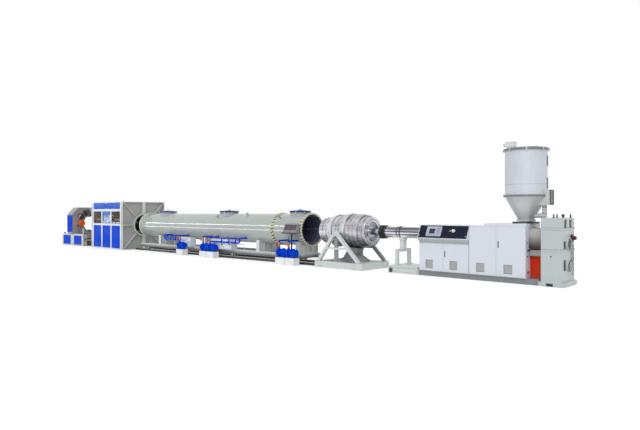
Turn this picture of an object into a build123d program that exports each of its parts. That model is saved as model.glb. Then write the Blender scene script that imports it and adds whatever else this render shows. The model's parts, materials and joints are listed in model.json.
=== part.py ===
from build123d import *
import os
from math import cos, radians, sin

# Jacket pipe production line: extruder, die head, cooling tank, haul-off and cutter in one row.
# Millimetres, +Z up, floor at zero. The line runs along X, the extruder at +X and the cutter at -X.
# While it is built, X is zero at the mouth of the tank. The last step moves the row's middle there.

# Shared sizes
AXIS_Z = 1355.0
SEAT = 0.3
RUNNING_GAP = 6.0
OVERRUN = 60.0

# Tank: a front and a rear shell with rings at the mouth, at the joint and at the outlet
TANK_LENGTH = 12290.0
CHAMBER_LENGTH = 1690.0
TANK_RADIUS = 640.0
TANK_WALL = 10.0
RING_RADIUS = 666.0
MOUTH_RADIUS = 606.0
MOUTH_RING_LENGTH = 110.0
MOUTH_LIP = 30.0
JOINT_RING_LENGTH = 130.0
JOINT_GROOVE_WIDTH = 14.0
JOINT_GROOVE_DEPTH = 12.0
OUTLET_RING_LENGTH = 90.0
OUTLET_PLATE = 40.0
OUTLET_RADIUS = 500.0

# Manholes on the tank's crown
HATCH_SHARES = (0.057, 0.432, 0.851)
NECK_RADIUS = 395.0
NECK_WALL = 10.0
NECK_RISE = 60.0
COVER_RADIUS = 450.0
COVER_RIM = 46.0
COVER_DOME = 44.0

# Spray pipes inside the tank
SPRAY_PIPE_RADIUS = 14.0
SPRAY_PIPE_ANGLES = (30.0, 90.0, 150.0, 210.0, 270.0, 330.0)

# Saddles and wheeled frame under the tank
SADDLE_SHARES = (0.026, 0.218, 0.53, 0.845)
SADDLE_HALF_WIDTH = 560.0
SADDLE_DEPTH = 190.0
SADDLE_WEB = 30.0
SADDLE_RIB = 24.0
SADDLE_FOOT = 24.0
SADDLE_RIB_SHARES = (-1.0, -0.42, 0.42, 1.0)
SADDLE_RISE = 460.0
BEAM_GAUGE = 960.0
BEAM_WIDTH = 160.0
BEAM_BOTTOM = 220.0
BEAM_TOP = 410.0
BEAM_END_INSET = 40.0
WHEEL_SHARES = (0.07, 0.36, 0.65, 0.94)
WHEEL_RADIUS = 85.0
WHEEL_WIDTH = 70.0
AXLE_RADIUS = 25.0
FORK_PLATE = 20.0
FORK_LENGTH = 130.0
RAIL_HEIGHT = 90.0
RAIL_WIDTH = 120.0
RAIL_FOOT = 26.0
RAIL_HEAD_SHARE = 0.45

# Water boxes on the frame's front beam
BOX_DEPTH = 330.0
BOX_FRONT = 800.0
BOX_HEIGHT = 430.0
BOX_CENTRE_SHARES = (0.63, 0.407)
BOX_LENGTHS = (920.0, 1650.0)

# Pump sets on skids in front of the tank
PUMP_SHARES = (0.6265, 0.4728, 0.4288, 0.0583, 0.0151)
PUMP_LINE = 985.0
SKID_HEIGHT = 280.0
SKID_WIDTH = 320.0
SKID_END = 25.0
MOTOR_RADIUS = 125.0
MOTOR_LENGTH = 300.0
VOLUTE_RADIUS = 155.0
VOLUTE_LENGTH = 90.0
PUMP_COUPLING_RADIUS = 60.0
PUMP_COUPLING_LENGTH = 60.0
PUMP_RISE = 190.0
PUMP_FOOT_LENGTH = 120.0
PUMP_FOOT_WIDTH = 190.0
TERMINAL_BOX = 90.0
RISER_RADIUS = 34.0
RISER_TOP = 930.0
RISER_FLANGE_RADIUS = 66.0
RISER_FLANGE = 20.0

# Operator's console beside the tank's mouth
CONSOLE_INSET = 50.0
CONSOLE_LENGTH = 720.0
CONSOLE_BACK = 690.0
CONSOLE_TOP_FRONT = 790.0
CONSOLE_FRONT = 930.0
CONSOLE_BOTTOM = 1225.0
CONSOLE_LIP = 40.0
CONSOLE_HEIGHT = 370.0
SCREEN_MARGIN = 35.0
SCREEN_RECESS = 10.0
CONSOLE_ARM_WIDTH = 120.0
CONSOLE_ARM_HEIGHT = 90.0
CONSOLE_POST_RADIUS = 32.0
CONSOLE_POST_PLACE_SHARE = 0.445
CONSOLE_POST_FOOT = 50.0
CONSOLE_POST_FOOT_HEIGHT = 16.0

# Die head: rings turned about the line's axis, from the outlet lip to the melt inlet
DIE_GAP = 765.0
LIP_LENGTH = 560.0
LIP_RADIUS = 470.0
LIP_BORE = 418.0
MANDREL_RADIUS = 400.0
MANDREL_BORE = 250.0
MANDREL_NOSE = 26.0
LIP_RING_LENGTH = 130.0
LIP_RING_RADIUS = 520.0
FRONT_BODY_LENGTH = 580.0
FRONT_BODY_RADIUS = 560.0
FRONT_FLANGE_LENGTH = 150.0
FRONT_FLANGE_RADIUS = 606.0
MAIN_FLANGE_LENGTH = 220.0
MAIN_FLANGE_RADIUS = 652.0
REAR_BODY_LENGTH = 555.0
REAR_BODY_RADIUS = 590.0
BACK_RING_LENGTH = 300.0
BACK_RING_RADIUS = 540.0
BACK_RECESS_RADIUS = 350.0
BACK_RECESS_DEPTH = 190.0
BACK_CHAMFER = 20.0
BAND_THICKNESS = 16.0
BAND_LENGTH = 150.0
BAND_GAP = 26.0
BAND_LUG = 46.0
HUB_RADIUS = 205.0
HUB_LENGTH = 90.0
NECK_PIPE_RADIUS = 120.0
NECK_PIPE_LENGTH = 500.0

# Die stand: base frame, front and back trestles, pedestal
STAND_START = 872.0
STAND_LENGTH = 2228.0
STAND_HALF_WIDTH = 828.0
STAND_HEIGHT = 235.0
STAND_BEAM = 170.0
STAND_CROSS_SHARES = (0.36, 0.78)
AXLE_CAP_RADIUS = 60.0
AXLE_CAP_LENGTH = 40.0
AXLE_CAP_SHARES = (0.12, 0.86)
TRESTLE_TOP = 1330.0
TRESTLE_TOP_SHARE = 0.44
TRESTLE_FOOT_SHARES = (0.07, 0.93)
TRESTLE_LEG = 110.0
TRESTLE_DEPTH = 110.0
TRESTLE_TIE_SHARE = 0.45
TRESTLE_TIE = 70.0
TRUNNION_RADIUS = 75.0
PEDESTAL_DEPTH = 420.0
PEDESTAL_PLATE = 60.0
PEDESTAL_FLARE = 260.0
PEDESTAL_NECK = 330.0

# Barrel, its clamps and its stand
CLAMP_RADIUS = 272.0
CLAMP_LENGTH = 150.0
CLAMP_SIDES = 6
CLAMP_COLLAR_RADIUS = 216.0
CLAMP_COLLAR_LENGTH = 90.0
BARREL_RADIUS = 196.0
FRONT_BARREL_LENGTH = 525.0
BARREL_RING_RADIUS = 224.0
BARREL_RING_LENGTH = 60.0
REAR_BARREL_LENGTH = 1048.0
BASE_FRONT_OVERHANG = 230.0
BASE_FRONT_HEIGHT = 250.0
BASE_HALF_WIDTH = 560.0
BASE_TOE_INSET = 70.0
BASE_SIDE_GROOVE = 40.0
BASE_FLANGE = 40.0
FRONT_PLINTH_LENGTH = 1120.0
BARREL_STAND_OFFSET = 90.0
BARREL_STAND_GAUGE = 740.0
BARREL_STAND_POST = 110.0
BARREL_STAND_TOP = 800.0
BARREL_STAND_BEAM = 100.0
BARREL_COLUMN = 170.0
BARREL_CRADLE_LENGTH = 190.0
BARREL_CRADLE_WIDTH = 230.0
BARREL_CRADLE_DEPTH = 70.0

# Cabinets round the barrel, with a sloped desk on the first
CONTROL_LENGTH = 1739.0
DRIVE_LENGTH = 1727.0
CABINET_HALF_WIDTH = 538.0
CABINET_FOOT = 169.0
CABINET_TOP = 1646.0
CABINET_WALL = 30.0
BAY_TOP = 1030.0
DESK_TOP_Y = 480.0
DESK_LOW_Y = 690.0
DESK_LOW_Z = 1215.0
DESK_UNDER_Z = 1075.0
PANEL_PLATE = 10.0
PANEL_MARGIN = 26.0
OPERATOR_WIDTH = 520.0
OPERATOR_HEIGHT = 330.0
OPERATOR_DEPTH = 34.0
OPERATOR_PLACE_SHARE = 0.33
OPERATOR_SCREEN_DEPTH = 8.0
OPERATOR_SCREEN_SHARES = (0.40, 0.52)
OPERATOR_SCREEN_PLACE_SHARE = -0.12
BUTTON_RADII = (26.0, 46.0)
BUTTON_LENGTHS = (22.0, 34.0)
BUTTON_SHARES = (0.64, 0.71)
BUTTON_RISE = 40.0
ROOF_RISE = 74.0
ROOF_START_SHARE = 0.27
DOOR_THICKNESS = 30.0
DOOR_EDGE = 22.0
DOOR_MEETING_GAP = 6.0
HINGE_PIN_RADIUS = 8.0
HINGE_PIN_LENGTH = 36.0
HINGE_LUG = 18.0
VENT_WIDTH = 260.0
VENT_HEIGHT = 270.0
VENT_DEPTH = 14.0
VENT_FOOT = 70.0
VENT_PLACE_SHARE = 0.42
PULL_WIDTH = 34.0
PULL_HEIGHT = 190.0
PULL_DEPTH = 12.0
PULL_EDGE = 60.0
PULL_PLACE_SHARE = 0.36

# Drive: motor, coupling guard, thrust housing and gearbox
MOTOR_CENTRE_Z = 560.0
DRIVE_MOTOR_RADIUS = 235.0
DRIVE_MOTOR_LENGTH = 900.0
DRIVE_MOTOR_END_GAP = 220.0
DRIVE_MOTOR_FOOT_WIDTH = 420.0
DRIVE_MOTOR_FOOT_LENGTH = 620.0
DRIVE_SHAFT_RADIUS = 60.0
GEARBOX_GAP = 403.0
GEARBOX_LENGTH = 559.0
GEARBOX_HALF_WIDTH = 540.0
GEARBOX_HEIGHT = 1891.0
GEARBOX_EDGE = 24.0
GEARBOX_LEDGE = 16.0
GEARBOX_LEDGE_HEIGHT = 46.0
GEARBOX_LEDGE_SHARES = (0.523, 0.84)
GEARBOX_FOOT_HEIGHT = 130.0
GEARBOX_FOOT_REACH = 66.0
ANCHOR_RADIUS = 16.0
ANCHOR_INSET = 33.0
ANCHOR_LINE = 470.0
FOOT_POCKET_LENGTH = 190.0
FOOT_POCKET_HEIGHT = 90.0
FOOT_POCKET_DEPTH = 60.0
FOOT_POCKET_PLACE_SHARE = 0.42
POCKET_WIDTH = 200.0
POCKET_HEIGHT = 230.0
POCKET_DEPTH = 30.0
POCKET_TOP = 50.0
POCKET_PLACE = 210.0
UPPER_CAP_RADIUS = 190.0
LOWER_CAP_RADIUS = 165.0
CAP_LENGTH = 50.0
CAP_RIM = 36.0
LOWER_CAP_Z = 560.0
OIL_PUMP_RADIUS = 100.0
OIL_PUMP_LENGTH = 80.0
OIL_PUMP_PLACE = 270.0
OIL_PUMP_Z = 1325.0
OIL_PUMP_NOSE_SHARE = 0.55
GUARD_HALF_WIDTH = 240.0
GUARD_TOP = 800.0
GUARD_END_GAP = 10.0
THRUST_RADIUS = 205.0
THRUST_FLANGE_RADIUS = 270.0
THRUST_FLANGE_LENGTH = 70.0

# Hopper over the feed throat
HOPPER_INSET = 209.0
HOPPER_RADIUS = 586.0
HOPPER_WALL = 8.0
HOPPER_TOP = 3860.0
HOPPER_JOINT_Z = 2520.0
HOPPER_FOOT_Z = 1800.0
HOPPER_MOUTH_RADIUS = 215.0
HOPPER_RING_REACH = 44.0
HOPPER_RING_HEIGHT = 30.0
HOPPER_FOOT_RING = 270.0
LID_RISE = 14.0
LID_EDGE = 26.0
LID_SLOPE = 36.0
LOADER_LENGTH = 260.0
LOADER_WIDTH = 200.0
LOADER_HEIGHT = 200.0
LOADER_PLACE_X = 364.0
LOADER_PLACE_Y = 200.0
LOADER_BASE_SHARE = 0.8
LOADER_NECK_SHARE = 0.33
BLOWER_WIDTH = 330.0
BLOWER_REACH = 96.0
BLOWER_TOP = 2690.0
BLOWER_BOTTOM = 2250.0
DUCT_RADIUS = 65.0
DUCT_INSET = 130.0
DUCT_ELBOW_DROP = 300.0
THROAT_RADIUS = 165.0
THROAT_FLANGE = 18.0

# Haul-off: ribbed end plates, side frames with panels and glass, six belt tracks inside
HAUL_GAP = 655.0
HAUL_LENGTH = 3703.0
HAUL_HALF_WIDTH = 1286.0
HAUL_HEIGHT = 2645.0
END_PLATE = 30.0
END_RIB_DEPTH = 120.0
END_EDGE = 40.0
END_RIB = 36.0
END_SPINE = 190.0
END_HOLE_RADIUS = 550.0
END_RIM_RADIUS = 625.0
SIDE_FRAME = 70.0
POST_WIDTH = 120.0
BAYS = 3
HEADER_SHARES = (0.866, 0.968)
WINDOW_SHARES = (0.541, 0.798)
PANEL_SHARES = (0.0265, 0.499)
PANEL_SHEET = 24.0
PANEL_RECESS = 14.0
GLASS_SHEET = 10.0
GLASS_RECESS = 30.0
ROOF_SHEET = 30.0
TRACKS = 6
TRACK_PASSAGE_RADIUS = 470.0
TRACK_WIDTH = 240.0
LOOP_RADIUS = 150.0
LOOP_THICKNESS = 58.0
LOOP_END_GAP = 190.0
PAD_NOTCH = 24.0
PAD_NOTCH_DEPTH = 30.0
PADS_PER_RUN = 16
CHEEK = 20.0
CHEEK_GAP = 6.0
CHEEK_INSET = 50.0

# Cutter: side beams on cross members, ties to the haul-off, and a carriage with a turning saw ring
CUTTER_GAP = 1290.0
CUTTER_LENGTH = 2903.0
CUTTER_HALF_WIDTH = 1240.0
CUTTER_BEAM_WIDTH = 270.0
CUTTER_BEAM_HEIGHT = 685.0
CUTTER_PANEL_SHARES = ((0.05, 0.42), (0.58, 0.95))
CUTTER_PANEL_TOP = 60.0
CUTTER_PANEL_BOTTOM = 70.0
CUTTER_PANEL_RECESS = 34.0
CROSS_HEIGHT = 180.0
CROSS_LENGTH = 200.0
CROSS_SHARES = (0.08, 0.5, 0.92)
SLIDE_RAIL_WIDTH = 60.0
SLIDE_RAIL_HEIGHT = 50.0
TIE_WIDTH = 90.0
TIE_HEIGHT = 110.0
TIE_OVER_RIB = 80.0
END_POST = 70.0
END_POST_TOP = 1100.0
CARRIAGE_START = 750.0
CARRIAGE_LENGTH = 700.0
CARRIAGE_HALF_WIDTH = 1230.0
CARRIAGE_TOP = 2370.0
CARRIAGE_CHAMFER = 370.0
CARRIAGE_KNEE = 40.0
CARRIAGE_DROP_HALF_WIDTH = 880.0
CARRIAGE_DROP = 330.0
CARRIAGE_BORE = 640.0
COVER_SHEET = 30.0
COVER_BOTTOM = 820.0
COVER_TOP = 1880.0
SAW_RING_RADIUS = 960.0
SAW_RING_LENGTH = 110.0
SAW_RING_BORE = 560.0
SAW_SLEEVE_LENGTH = 300.0
SAW_ANGLE = 122.0
SAW_WIDTH = 260.0
SAW_DEPTH = 250.0
SAW_INNER = 600.0
SAW_OUTER = 1030.0
SAW_CARRIAGE = 90.0
SAW_NOSE_CENTRE = 730.0
SAW_MOTOR_ANGLE = 178.0
SAW_MOTOR_RADIUS = 150.0
SAW_MOTOR_LENGTH = 340.0
SAW_MOTOR_PLACE = 790.0

# Places along the line that follow from the sizes
STAND_END = STAND_START + STAND_LENGTH
DIE_START = DIE_GAP
DIE_BODY_START = DIE_START + LIP_LENGTH
DIE_MAIN_START = DIE_BODY_START + FRONT_BODY_LENGTH
DIE_REAR_START = DIE_MAIN_START + MAIN_FLANGE_LENGTH
DIE_BACK_START = DIE_REAR_START + REAR_BODY_LENGTH
DIE_END = DIE_BACK_START + BACK_RING_LENGTH
CLAMP_START = DIE_END - BACK_RECESS_DEPTH + HUB_LENGTH + NECK_PIPE_LENGTH
BARREL_START = CLAMP_START + CLAMP_LENGTH + CLAMP_COLLAR_LENGTH
BARREL_RING_START = BARREL_START + FRONT_BARREL_LENGTH
REAR_BARREL_START = BARREL_RING_START + BARREL_RING_LENGTH
BARREL_STAND_X = BARREL_RING_START + BARREL_RING_LENGTH / 2 + BARREL_STAND_OFFSET
BASE_START = BARREL_STAND_X - BASE_FRONT_OVERHANG
CONTROL_START = REAR_BARREL_START + REAR_BARREL_LENGTH
DRIVE_START = CONTROL_START + CONTROL_LENGTH
DRIVE_END = DRIVE_START + DRIVE_LENGTH
GEARBOX_START = DRIVE_END + GEARBOX_GAP
GEARBOX_END = GEARBOX_START + GEARBOX_LENGTH
LINE_RIGHT = GEARBOX_END + CAP_LENGTH + OIL_PUMP_LENGTH
HAUL_START = -TANK_LENGTH - HAUL_GAP
HAUL_END = HAUL_START - HAUL_LENGTH
CUTTER_START = HAUL_END - CUTTER_GAP
CUTTER_END = CUTTER_START - CUTTER_LENGTH
ROW_MIDDLE = (LINE_RIGHT + CUTTER_END) / 2
LINE_AXIS = Axis((0, 0, AXIS_Z), (1, 0, 0))
TANK_TOP_Z = AXIS_Z + TANK_RADIUS


def span(centre, length):
    """Low and high end of a length about its middle."""
    return (centre - length / 2, centre + length / 2)


def block(x, y, z):
    """A box between the low and high ends given for each direction."""
    middle = Pos((x[0] + x[1]) / 2, (y[0] + y[1]) / 2, (z[0] + z[1]) / 2)
    return middle * Box(x[1] - x[0], y[1] - y[0], z[1] - z[0])


def rod_x(x, radius, y=0.0, z=AXIS_Z):
    """A round bar along X."""
    return Pos((x[0] + x[1]) / 2, y, z) * Rot(0, 90, 0) * Cylinder(radius, x[1] - x[0])


def rod_y(y, radius, x, z):
    """A round bar along Y."""
    return Pos(x, (y[0] + y[1]) / 2, z) * Rot(90, 0, 0) * Cylinder(radius, y[1] - y[0])


def rod_z(z, radius, x, y=0.0):
    """An upright round bar."""
    return Pos(x, y, (z[0] + z[1]) / 2) * Cylinder(radius, z[1] - z[0])


def prism_x(outline, x):
    """An outline of (y, z) points drawn out along X."""
    face = make_face(Polyline(*outline, close=True))
    return extrude(Plane.YZ.offset(x[0]) * face, x[1] - x[0])


def prism_y(outline, y):
    """An outline of (x, z) points drawn out along Y."""
    face = make_face(Polyline(*outline, close=True))
    return extrude(Plane.XZ.offset(-y[1]) * face, y[1] - y[0])


def turned(outline):
    """An outline of (x, radius) points turned about the line's axis."""
    face = make_face(Polyline(*outline, close=True))
    return revolve(Pos(0, 0, AXIS_Z) * (Plane.XZ * face), LINE_AXIS, 360)


def spun(outline, x):
    """An outline of (radius, z) points turned about an upright axis."""
    face = make_face(Polyline(*outline, close=True))
    return revolve(Pos(x, 0, 0) * (Plane.XZ * face), Axis((x, 0, 0), (0, 0, 1)), 360)


def ring_x(x, outer, inner):
    """A plain ring about the line's axis."""
    return turned(((x[0], inner), (x[1], inner), (x[1], outer), (x[0], outer)))


def about_line(piece, angle):
    """The piece turned about the line's axis by an angle in degrees."""
    return Pos(0, 0, AXIS_Z) * Rot(angle, 0, 0) * Pos(0, 0, -AXIS_Z) * piece


def mirrored_y(piece):
    """The piece's twin on the other side of the line."""
    return mirror(piece, Plane.XZ)


def write(name, *pieces):
    """Move the pieces to the part's origin and save them as one node."""
    solids = []
    for piece in pieces:
        moved = Pos(-ROW_MIDDLE, 0, 0) * piece
        solids.extend(moved.solids())
    shape = solids[0] if len(solids) == 1 else Compound(solids)
    export_step(shape, os.path.join("parts", name + ".step"))
    print(name, len(solids))


def make_tank():
    joint = -CHAMBER_LENGTH
    outlet = -TANK_LENGTH
    inner = TANK_RADIUS - TANK_WALL
    hatches = [-share * TANK_LENGTH for share in HATCH_SHARES]
    neck_top = TANK_TOP_Z + NECK_RISE
    write("tank_front_shell", shell_with_necks((joint, -MOUTH_LIP), hatches[:1], neck_top))
    write("tank_rear_shell", shell_with_necks((outlet + OUTLET_PLATE, joint), hatches[1:], neck_top))
    write("manhole_covers", *[hatch_cover(x, neck_top) for x in hatches])

    collar = TANK_RADIUS + SEAT
    mouth_lip = ring_x((-MOUTH_LIP, 0), RING_RADIUS, MOUTH_RADIUS)
    mouth_collar = ring_x((-MOUTH_RING_LENGTH, -MOUTH_LIP), RING_RADIUS, collar)
    groove = ring_x(span(joint, JOINT_GROOVE_WIDTH), RING_RADIUS + OVERRUN, RING_RADIUS - JOINT_GROOVE_DEPTH)
    joint_ring = ring_x(span(joint, JOINT_RING_LENGTH), RING_RADIUS, collar) - groove
    outlet_collar = ring_x((outlet + OUTLET_PLATE, outlet + OUTLET_RING_LENGTH), RING_RADIUS, collar)
    outlet_plate = ring_x((outlet, outlet + OUTLET_PLATE), RING_RADIUS, OUTLET_RADIUS)
    write("tank_rings", mouth_lip, mouth_collar, joint_ring, outlet_collar, outlet_plate)

    pipe_line = inner - SEAT - SPRAY_PIPE_RADIUS
    pipe = rod_x((outlet + OUTLET_PLATE, -MOUTH_LIP), SPRAY_PIPE_RADIUS, 0, AXIS_Z + pipe_line)
    write("spray_pipes", *[about_line(pipe, angle) for angle in SPRAY_PIPE_ANGLES])


def shell_with_necks(x, hatches, neck_top):
    """A length of the tank's shell with a welded neck for each manhole."""
    shell = ring_x(x, TANK_RADIUS, TANK_RADIUS - TANK_WALL)
    wall_middle = rod_x(x, TANK_RADIUS - TANK_WALL / 2)
    for hatch in hatches:
        shell += rod_z((AXIS_Z, neck_top), NECK_RADIUS, hatch) - wall_middle
    for hatch in hatches:
        shell -= rod_z((AXIS_Z, neck_top + OVERRUN), NECK_RADIUS - NECK_WALL, hatch)
    return shell


def hatch_cover(x, z):
    """A dished round cover with a straight rim."""
    rim = Line((0, z), (COVER_RADIUS, z)) + Line((COVER_RADIUS, z), (COVER_RADIUS, z + COVER_RIM))
    top = z + COVER_RIM + COVER_DOME
    dome = TangentArc((0, top), (COVER_RADIUS, z + COVER_RIM), tangent=(1, 0))
    outline = make_face(rim + dome + Line((0, top), (0, z)))
    return revolve(Pos(x, 0, 0) * (Plane.XZ * outline), Axis((x, 0, 0), (0, 0, 1)), 360)


def make_tank_frame():
    start = -BEAM_END_INSET
    end = -TANK_LENGTH + BEAM_END_INSET
    line = BEAM_GAUGE / 2
    saddles_x = [-share * TANK_LENGTH for share in SADDLE_SHARES]
    wheels_x = [-share * TANK_LENGTH for share in WHEEL_SHARES]
    axle_z = RAIL_HEIGHT + SEAT + WHEEL_RADIUS

    shell = rod_x((-TANK_LENGTH, 0), TANK_RADIUS + SEAT)
    saddles = []
    for x in saddles_x:
        foot_top = BEAM_TOP + SADDLE_FOOT
        foot = block(span(x, SADDLE_DEPTH), (-SADDLE_HALF_WIDTH, SADDLE_HALF_WIDTH), (BEAM_TOP, foot_top))
        top = BEAM_TOP + SADDLE_RISE
        web = block(span(x, SADDLE_WEB), (-SADDLE_HALF_WIDTH, SADDLE_HALF_WIDTH), (foot_top, top))
        saddle = foot + web
        for share in SADDLE_RIB_SHARES:
            y = share * (SADDLE_HALF_WIDTH - SADDLE_RIB / 2)
            saddle += block(span(x, SADDLE_DEPTH), span(y, SADDLE_RIB), (foot_top, top))
        saddles.append(saddle - shell)
    write("tank_saddles", *saddles)

    beam = block((end, start), span(line, BEAM_WIDTH), (BEAM_BOTTOM, BEAM_TOP))
    fork_y = WHEEL_WIDTH / 2 + RUNNING_GAP + FORK_PLATE / 2
    clearance = WHEEL_RADIUS + RUNNING_GAP
    for x in wheels_x:
        for y in (line - fork_y, line + fork_y):
            plate = block(span(x, FORK_LENGTH), span(y, FORK_PLATE), (axle_z - 2 * AXLE_RADIUS, BEAM_BOTTOM))
            beam += plate - rod_y(span(y, OVERRUN), AXLE_RADIUS + SEAT, x, axle_z)
        beam -= rod_y(span(line, WHEEL_WIDTH + 2 * RUNNING_GAP), clearance, x, axle_z)
    inside = line - BEAM_WIDTH / 2
    crosses = [block(span(x, SADDLE_DEPTH), (-inside, inside), (BEAM_BOTTOM, BEAM_TOP)) for x in saddles_x]
    write("tank_frame", beam, mirrored_y(beam), *crosses)

    wheels = []
    reach = WHEEL_WIDTH + 2 * RUNNING_GAP + 2 * FORK_PLATE
    for x in wheels_x:
        for side in (-line, line):
            tyre = rod_y(span(side, WHEEL_WIDTH), WHEEL_RADIUS, x, axle_z)
            wheels.append(tyre + rod_y(span(side, reach), AXLE_RADIUS, x, axle_z))
    write("tank_wheels", *wheels)

    head = RAIL_WIDTH * RAIL_HEAD_SHARE
    rails = []
    for side in (-line, line):
        x = (HAUL_START, STAND_START)
        rail = block(x, span(side, RAIL_WIDTH), (0, RAIL_FOOT))
        rails.append(rail + block(x, span(side, head), (RAIL_FOOT, RAIL_HEIGHT)))
    write("floor_rails", *rails)

    boxes = []
    for share, length in zip(BOX_CENTRE_SHARES, BOX_LENGTHS):
        x = span(-share * TANK_LENGTH, length)
        body = block(x, (-BOX_FRONT, -BOX_FRONT + BOX_DEPTH), (BEAM_TOP, BEAM_TOP + BOX_HEIGHT))
        boxes.append(body - shell)
    write("water_boxes", *boxes)


def pump_set(x):
    """Motor, coupling and volute on one shaft, on two feet and a skid."""
    z = SKID_HEIGHT + PUMP_RISE
    y = -PUMP_LINE
    volute_x = span(pump_outlet(x), VOLUTE_LENGTH)
    coupling_x = (volute_x[1], volute_x[1] + PUMP_COUPLING_LENGTH)
    motor_x = (coupling_x[1], coupling_x[1] + MOTOR_LENGTH)
    motor = rod_x(motor_x, MOTOR_RADIUS, y, z)
    coupling = rod_x(coupling_x, PUMP_COUPLING_RADIUS, y, z)
    volute = rod_x(volute_x, VOLUTE_RADIUS, y, z)
    middle = (motor_x[0] + motor_x[1]) / 2
    terminal_z = (z, z + MOTOR_RADIUS + TERMINAL_BOX / 2)
    terminals = block(span(middle, TERMINAL_BOX), span(y, TERMINAL_BOX), terminal_z)
    foot_z = (SKID_HEIGHT, z)
    motor_foot = block(span(middle, PUMP_FOOT_LENGTH), span(y, PUMP_FOOT_WIDTH), foot_z)
    volute_foot = block(volute_x, span(y, PUMP_FOOT_WIDTH), foot_z)
    skid = block((volute_x[0] - SKID_END, motor_x[1] + SKID_END), span(y, SKID_WIDTH), (0, SKID_HEIGHT))
    return motor + coupling + volute + terminals + motor_foot + volute_foot + skid


def pump_outlet(x):
    """Middle of a pump's volute, where its riser stands."""
    length = MOTOR_LENGTH + PUMP_COUPLING_LENGTH + VOLUTE_LENGTH
    return x - length / 2 + VOLUTE_LENGTH / 2


def make_pumps():
    places = [-share * TANK_LENGTH for share in PUMP_SHARES]
    write("pumps", *[pump_set(x) for x in places])

    z = SKID_HEIGHT + PUMP_RISE
    shell = rod_x((-TANK_LENGTH, 0), TANK_RADIUS + SEAT)
    volutes_y = -PUMP_LINE
    pipes = []
    for x in places:
        out = pump_outlet(x)
        riser = rod_z((z, RISER_TOP), RISER_RADIUS, out, volutes_y)
        riser -= rod_x((out - OVERRUN, out + OVERRUN), VOLUTE_RADIUS + SEAT, volutes_y, z)
        elbow = Pos(out, volutes_y, RISER_TOP) * Sphere(RISER_RADIUS)
        branch = rod_y((volutes_y, 0), RISER_RADIUS, out, RISER_TOP) - shell
        flange_z = z + VOLUTE_RADIUS + RISER_FLANGE
        flange = rod_z((flange_z, flange_z + RISER_FLANGE), RISER_FLANGE_RADIUS, out, volutes_y)
        pipes.append(riser + elbow + branch + flange)
    write("water_pipes", *pipes)


def make_console():
    x = (-CONSOLE_INSET - CONSOLE_LENGTH, -CONSOLE_INSET)
    top = CONSOLE_BOTTOM + CONSOLE_HEIGHT
    lip = CONSOLE_BOTTOM + CONSOLE_LIP
    outline = (
        (-CONSOLE_BACK, CONSOLE_BOTTOM), (-CONSOLE_FRONT, CONSOLE_BOTTOM), (-CONSOLE_FRONT, lip),
        (-CONSOLE_TOP_FRONT, top), (-CONSOLE_BACK, top))
    slope = Vector(0, CONSOLE_FRONT - CONSOLE_TOP_FRONT, top - lip)
    along = slope.normalized()
    inward = Vector(0, along.Z, -along.Y)
    low = Vector(0, -CONSOLE_FRONT, lip) + along * SCREEN_MARGIN
    high = Vector(0, -CONSOLE_TOP_FRONT, top) - along * SCREEN_MARGIN
    corners = (low, high, high + inward * SCREEN_RECESS, low + inward * SCREEN_RECESS)
    recess = tuple((corner.Y, corner.Z) for corner in corners)
    box = prism_x(outline, x) - prism_x(recess, (x[0] + SCREEN_MARGIN, x[1] - SCREEN_MARGIN))
    post_x = x[0] + CONSOLE_POST_PLACE_SHARE * CONSOLE_LENGTH
    arm = block(span(post_x, CONSOLE_ARM_WIDTH), (-CONSOLE_BACK, 0), span(AXIS_Z, CONSOLE_ARM_HEIGHT))
    arm -= rod_x((-TANK_LENGTH, 0), TANK_RADIUS + SEAT)
    write("console_box", box + arm)
    post_y = -CONSOLE_BACK - CONSOLE_POST_FOOT
    post = rod_z((0, CONSOLE_BOTTOM), CONSOLE_POST_RADIUS, post_x, post_y)
    write("console_post", post + rod_z((0, CONSOLE_POST_FOOT_HEIGHT), CONSOLE_POST_FOOT, post_x, post_y))


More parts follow.
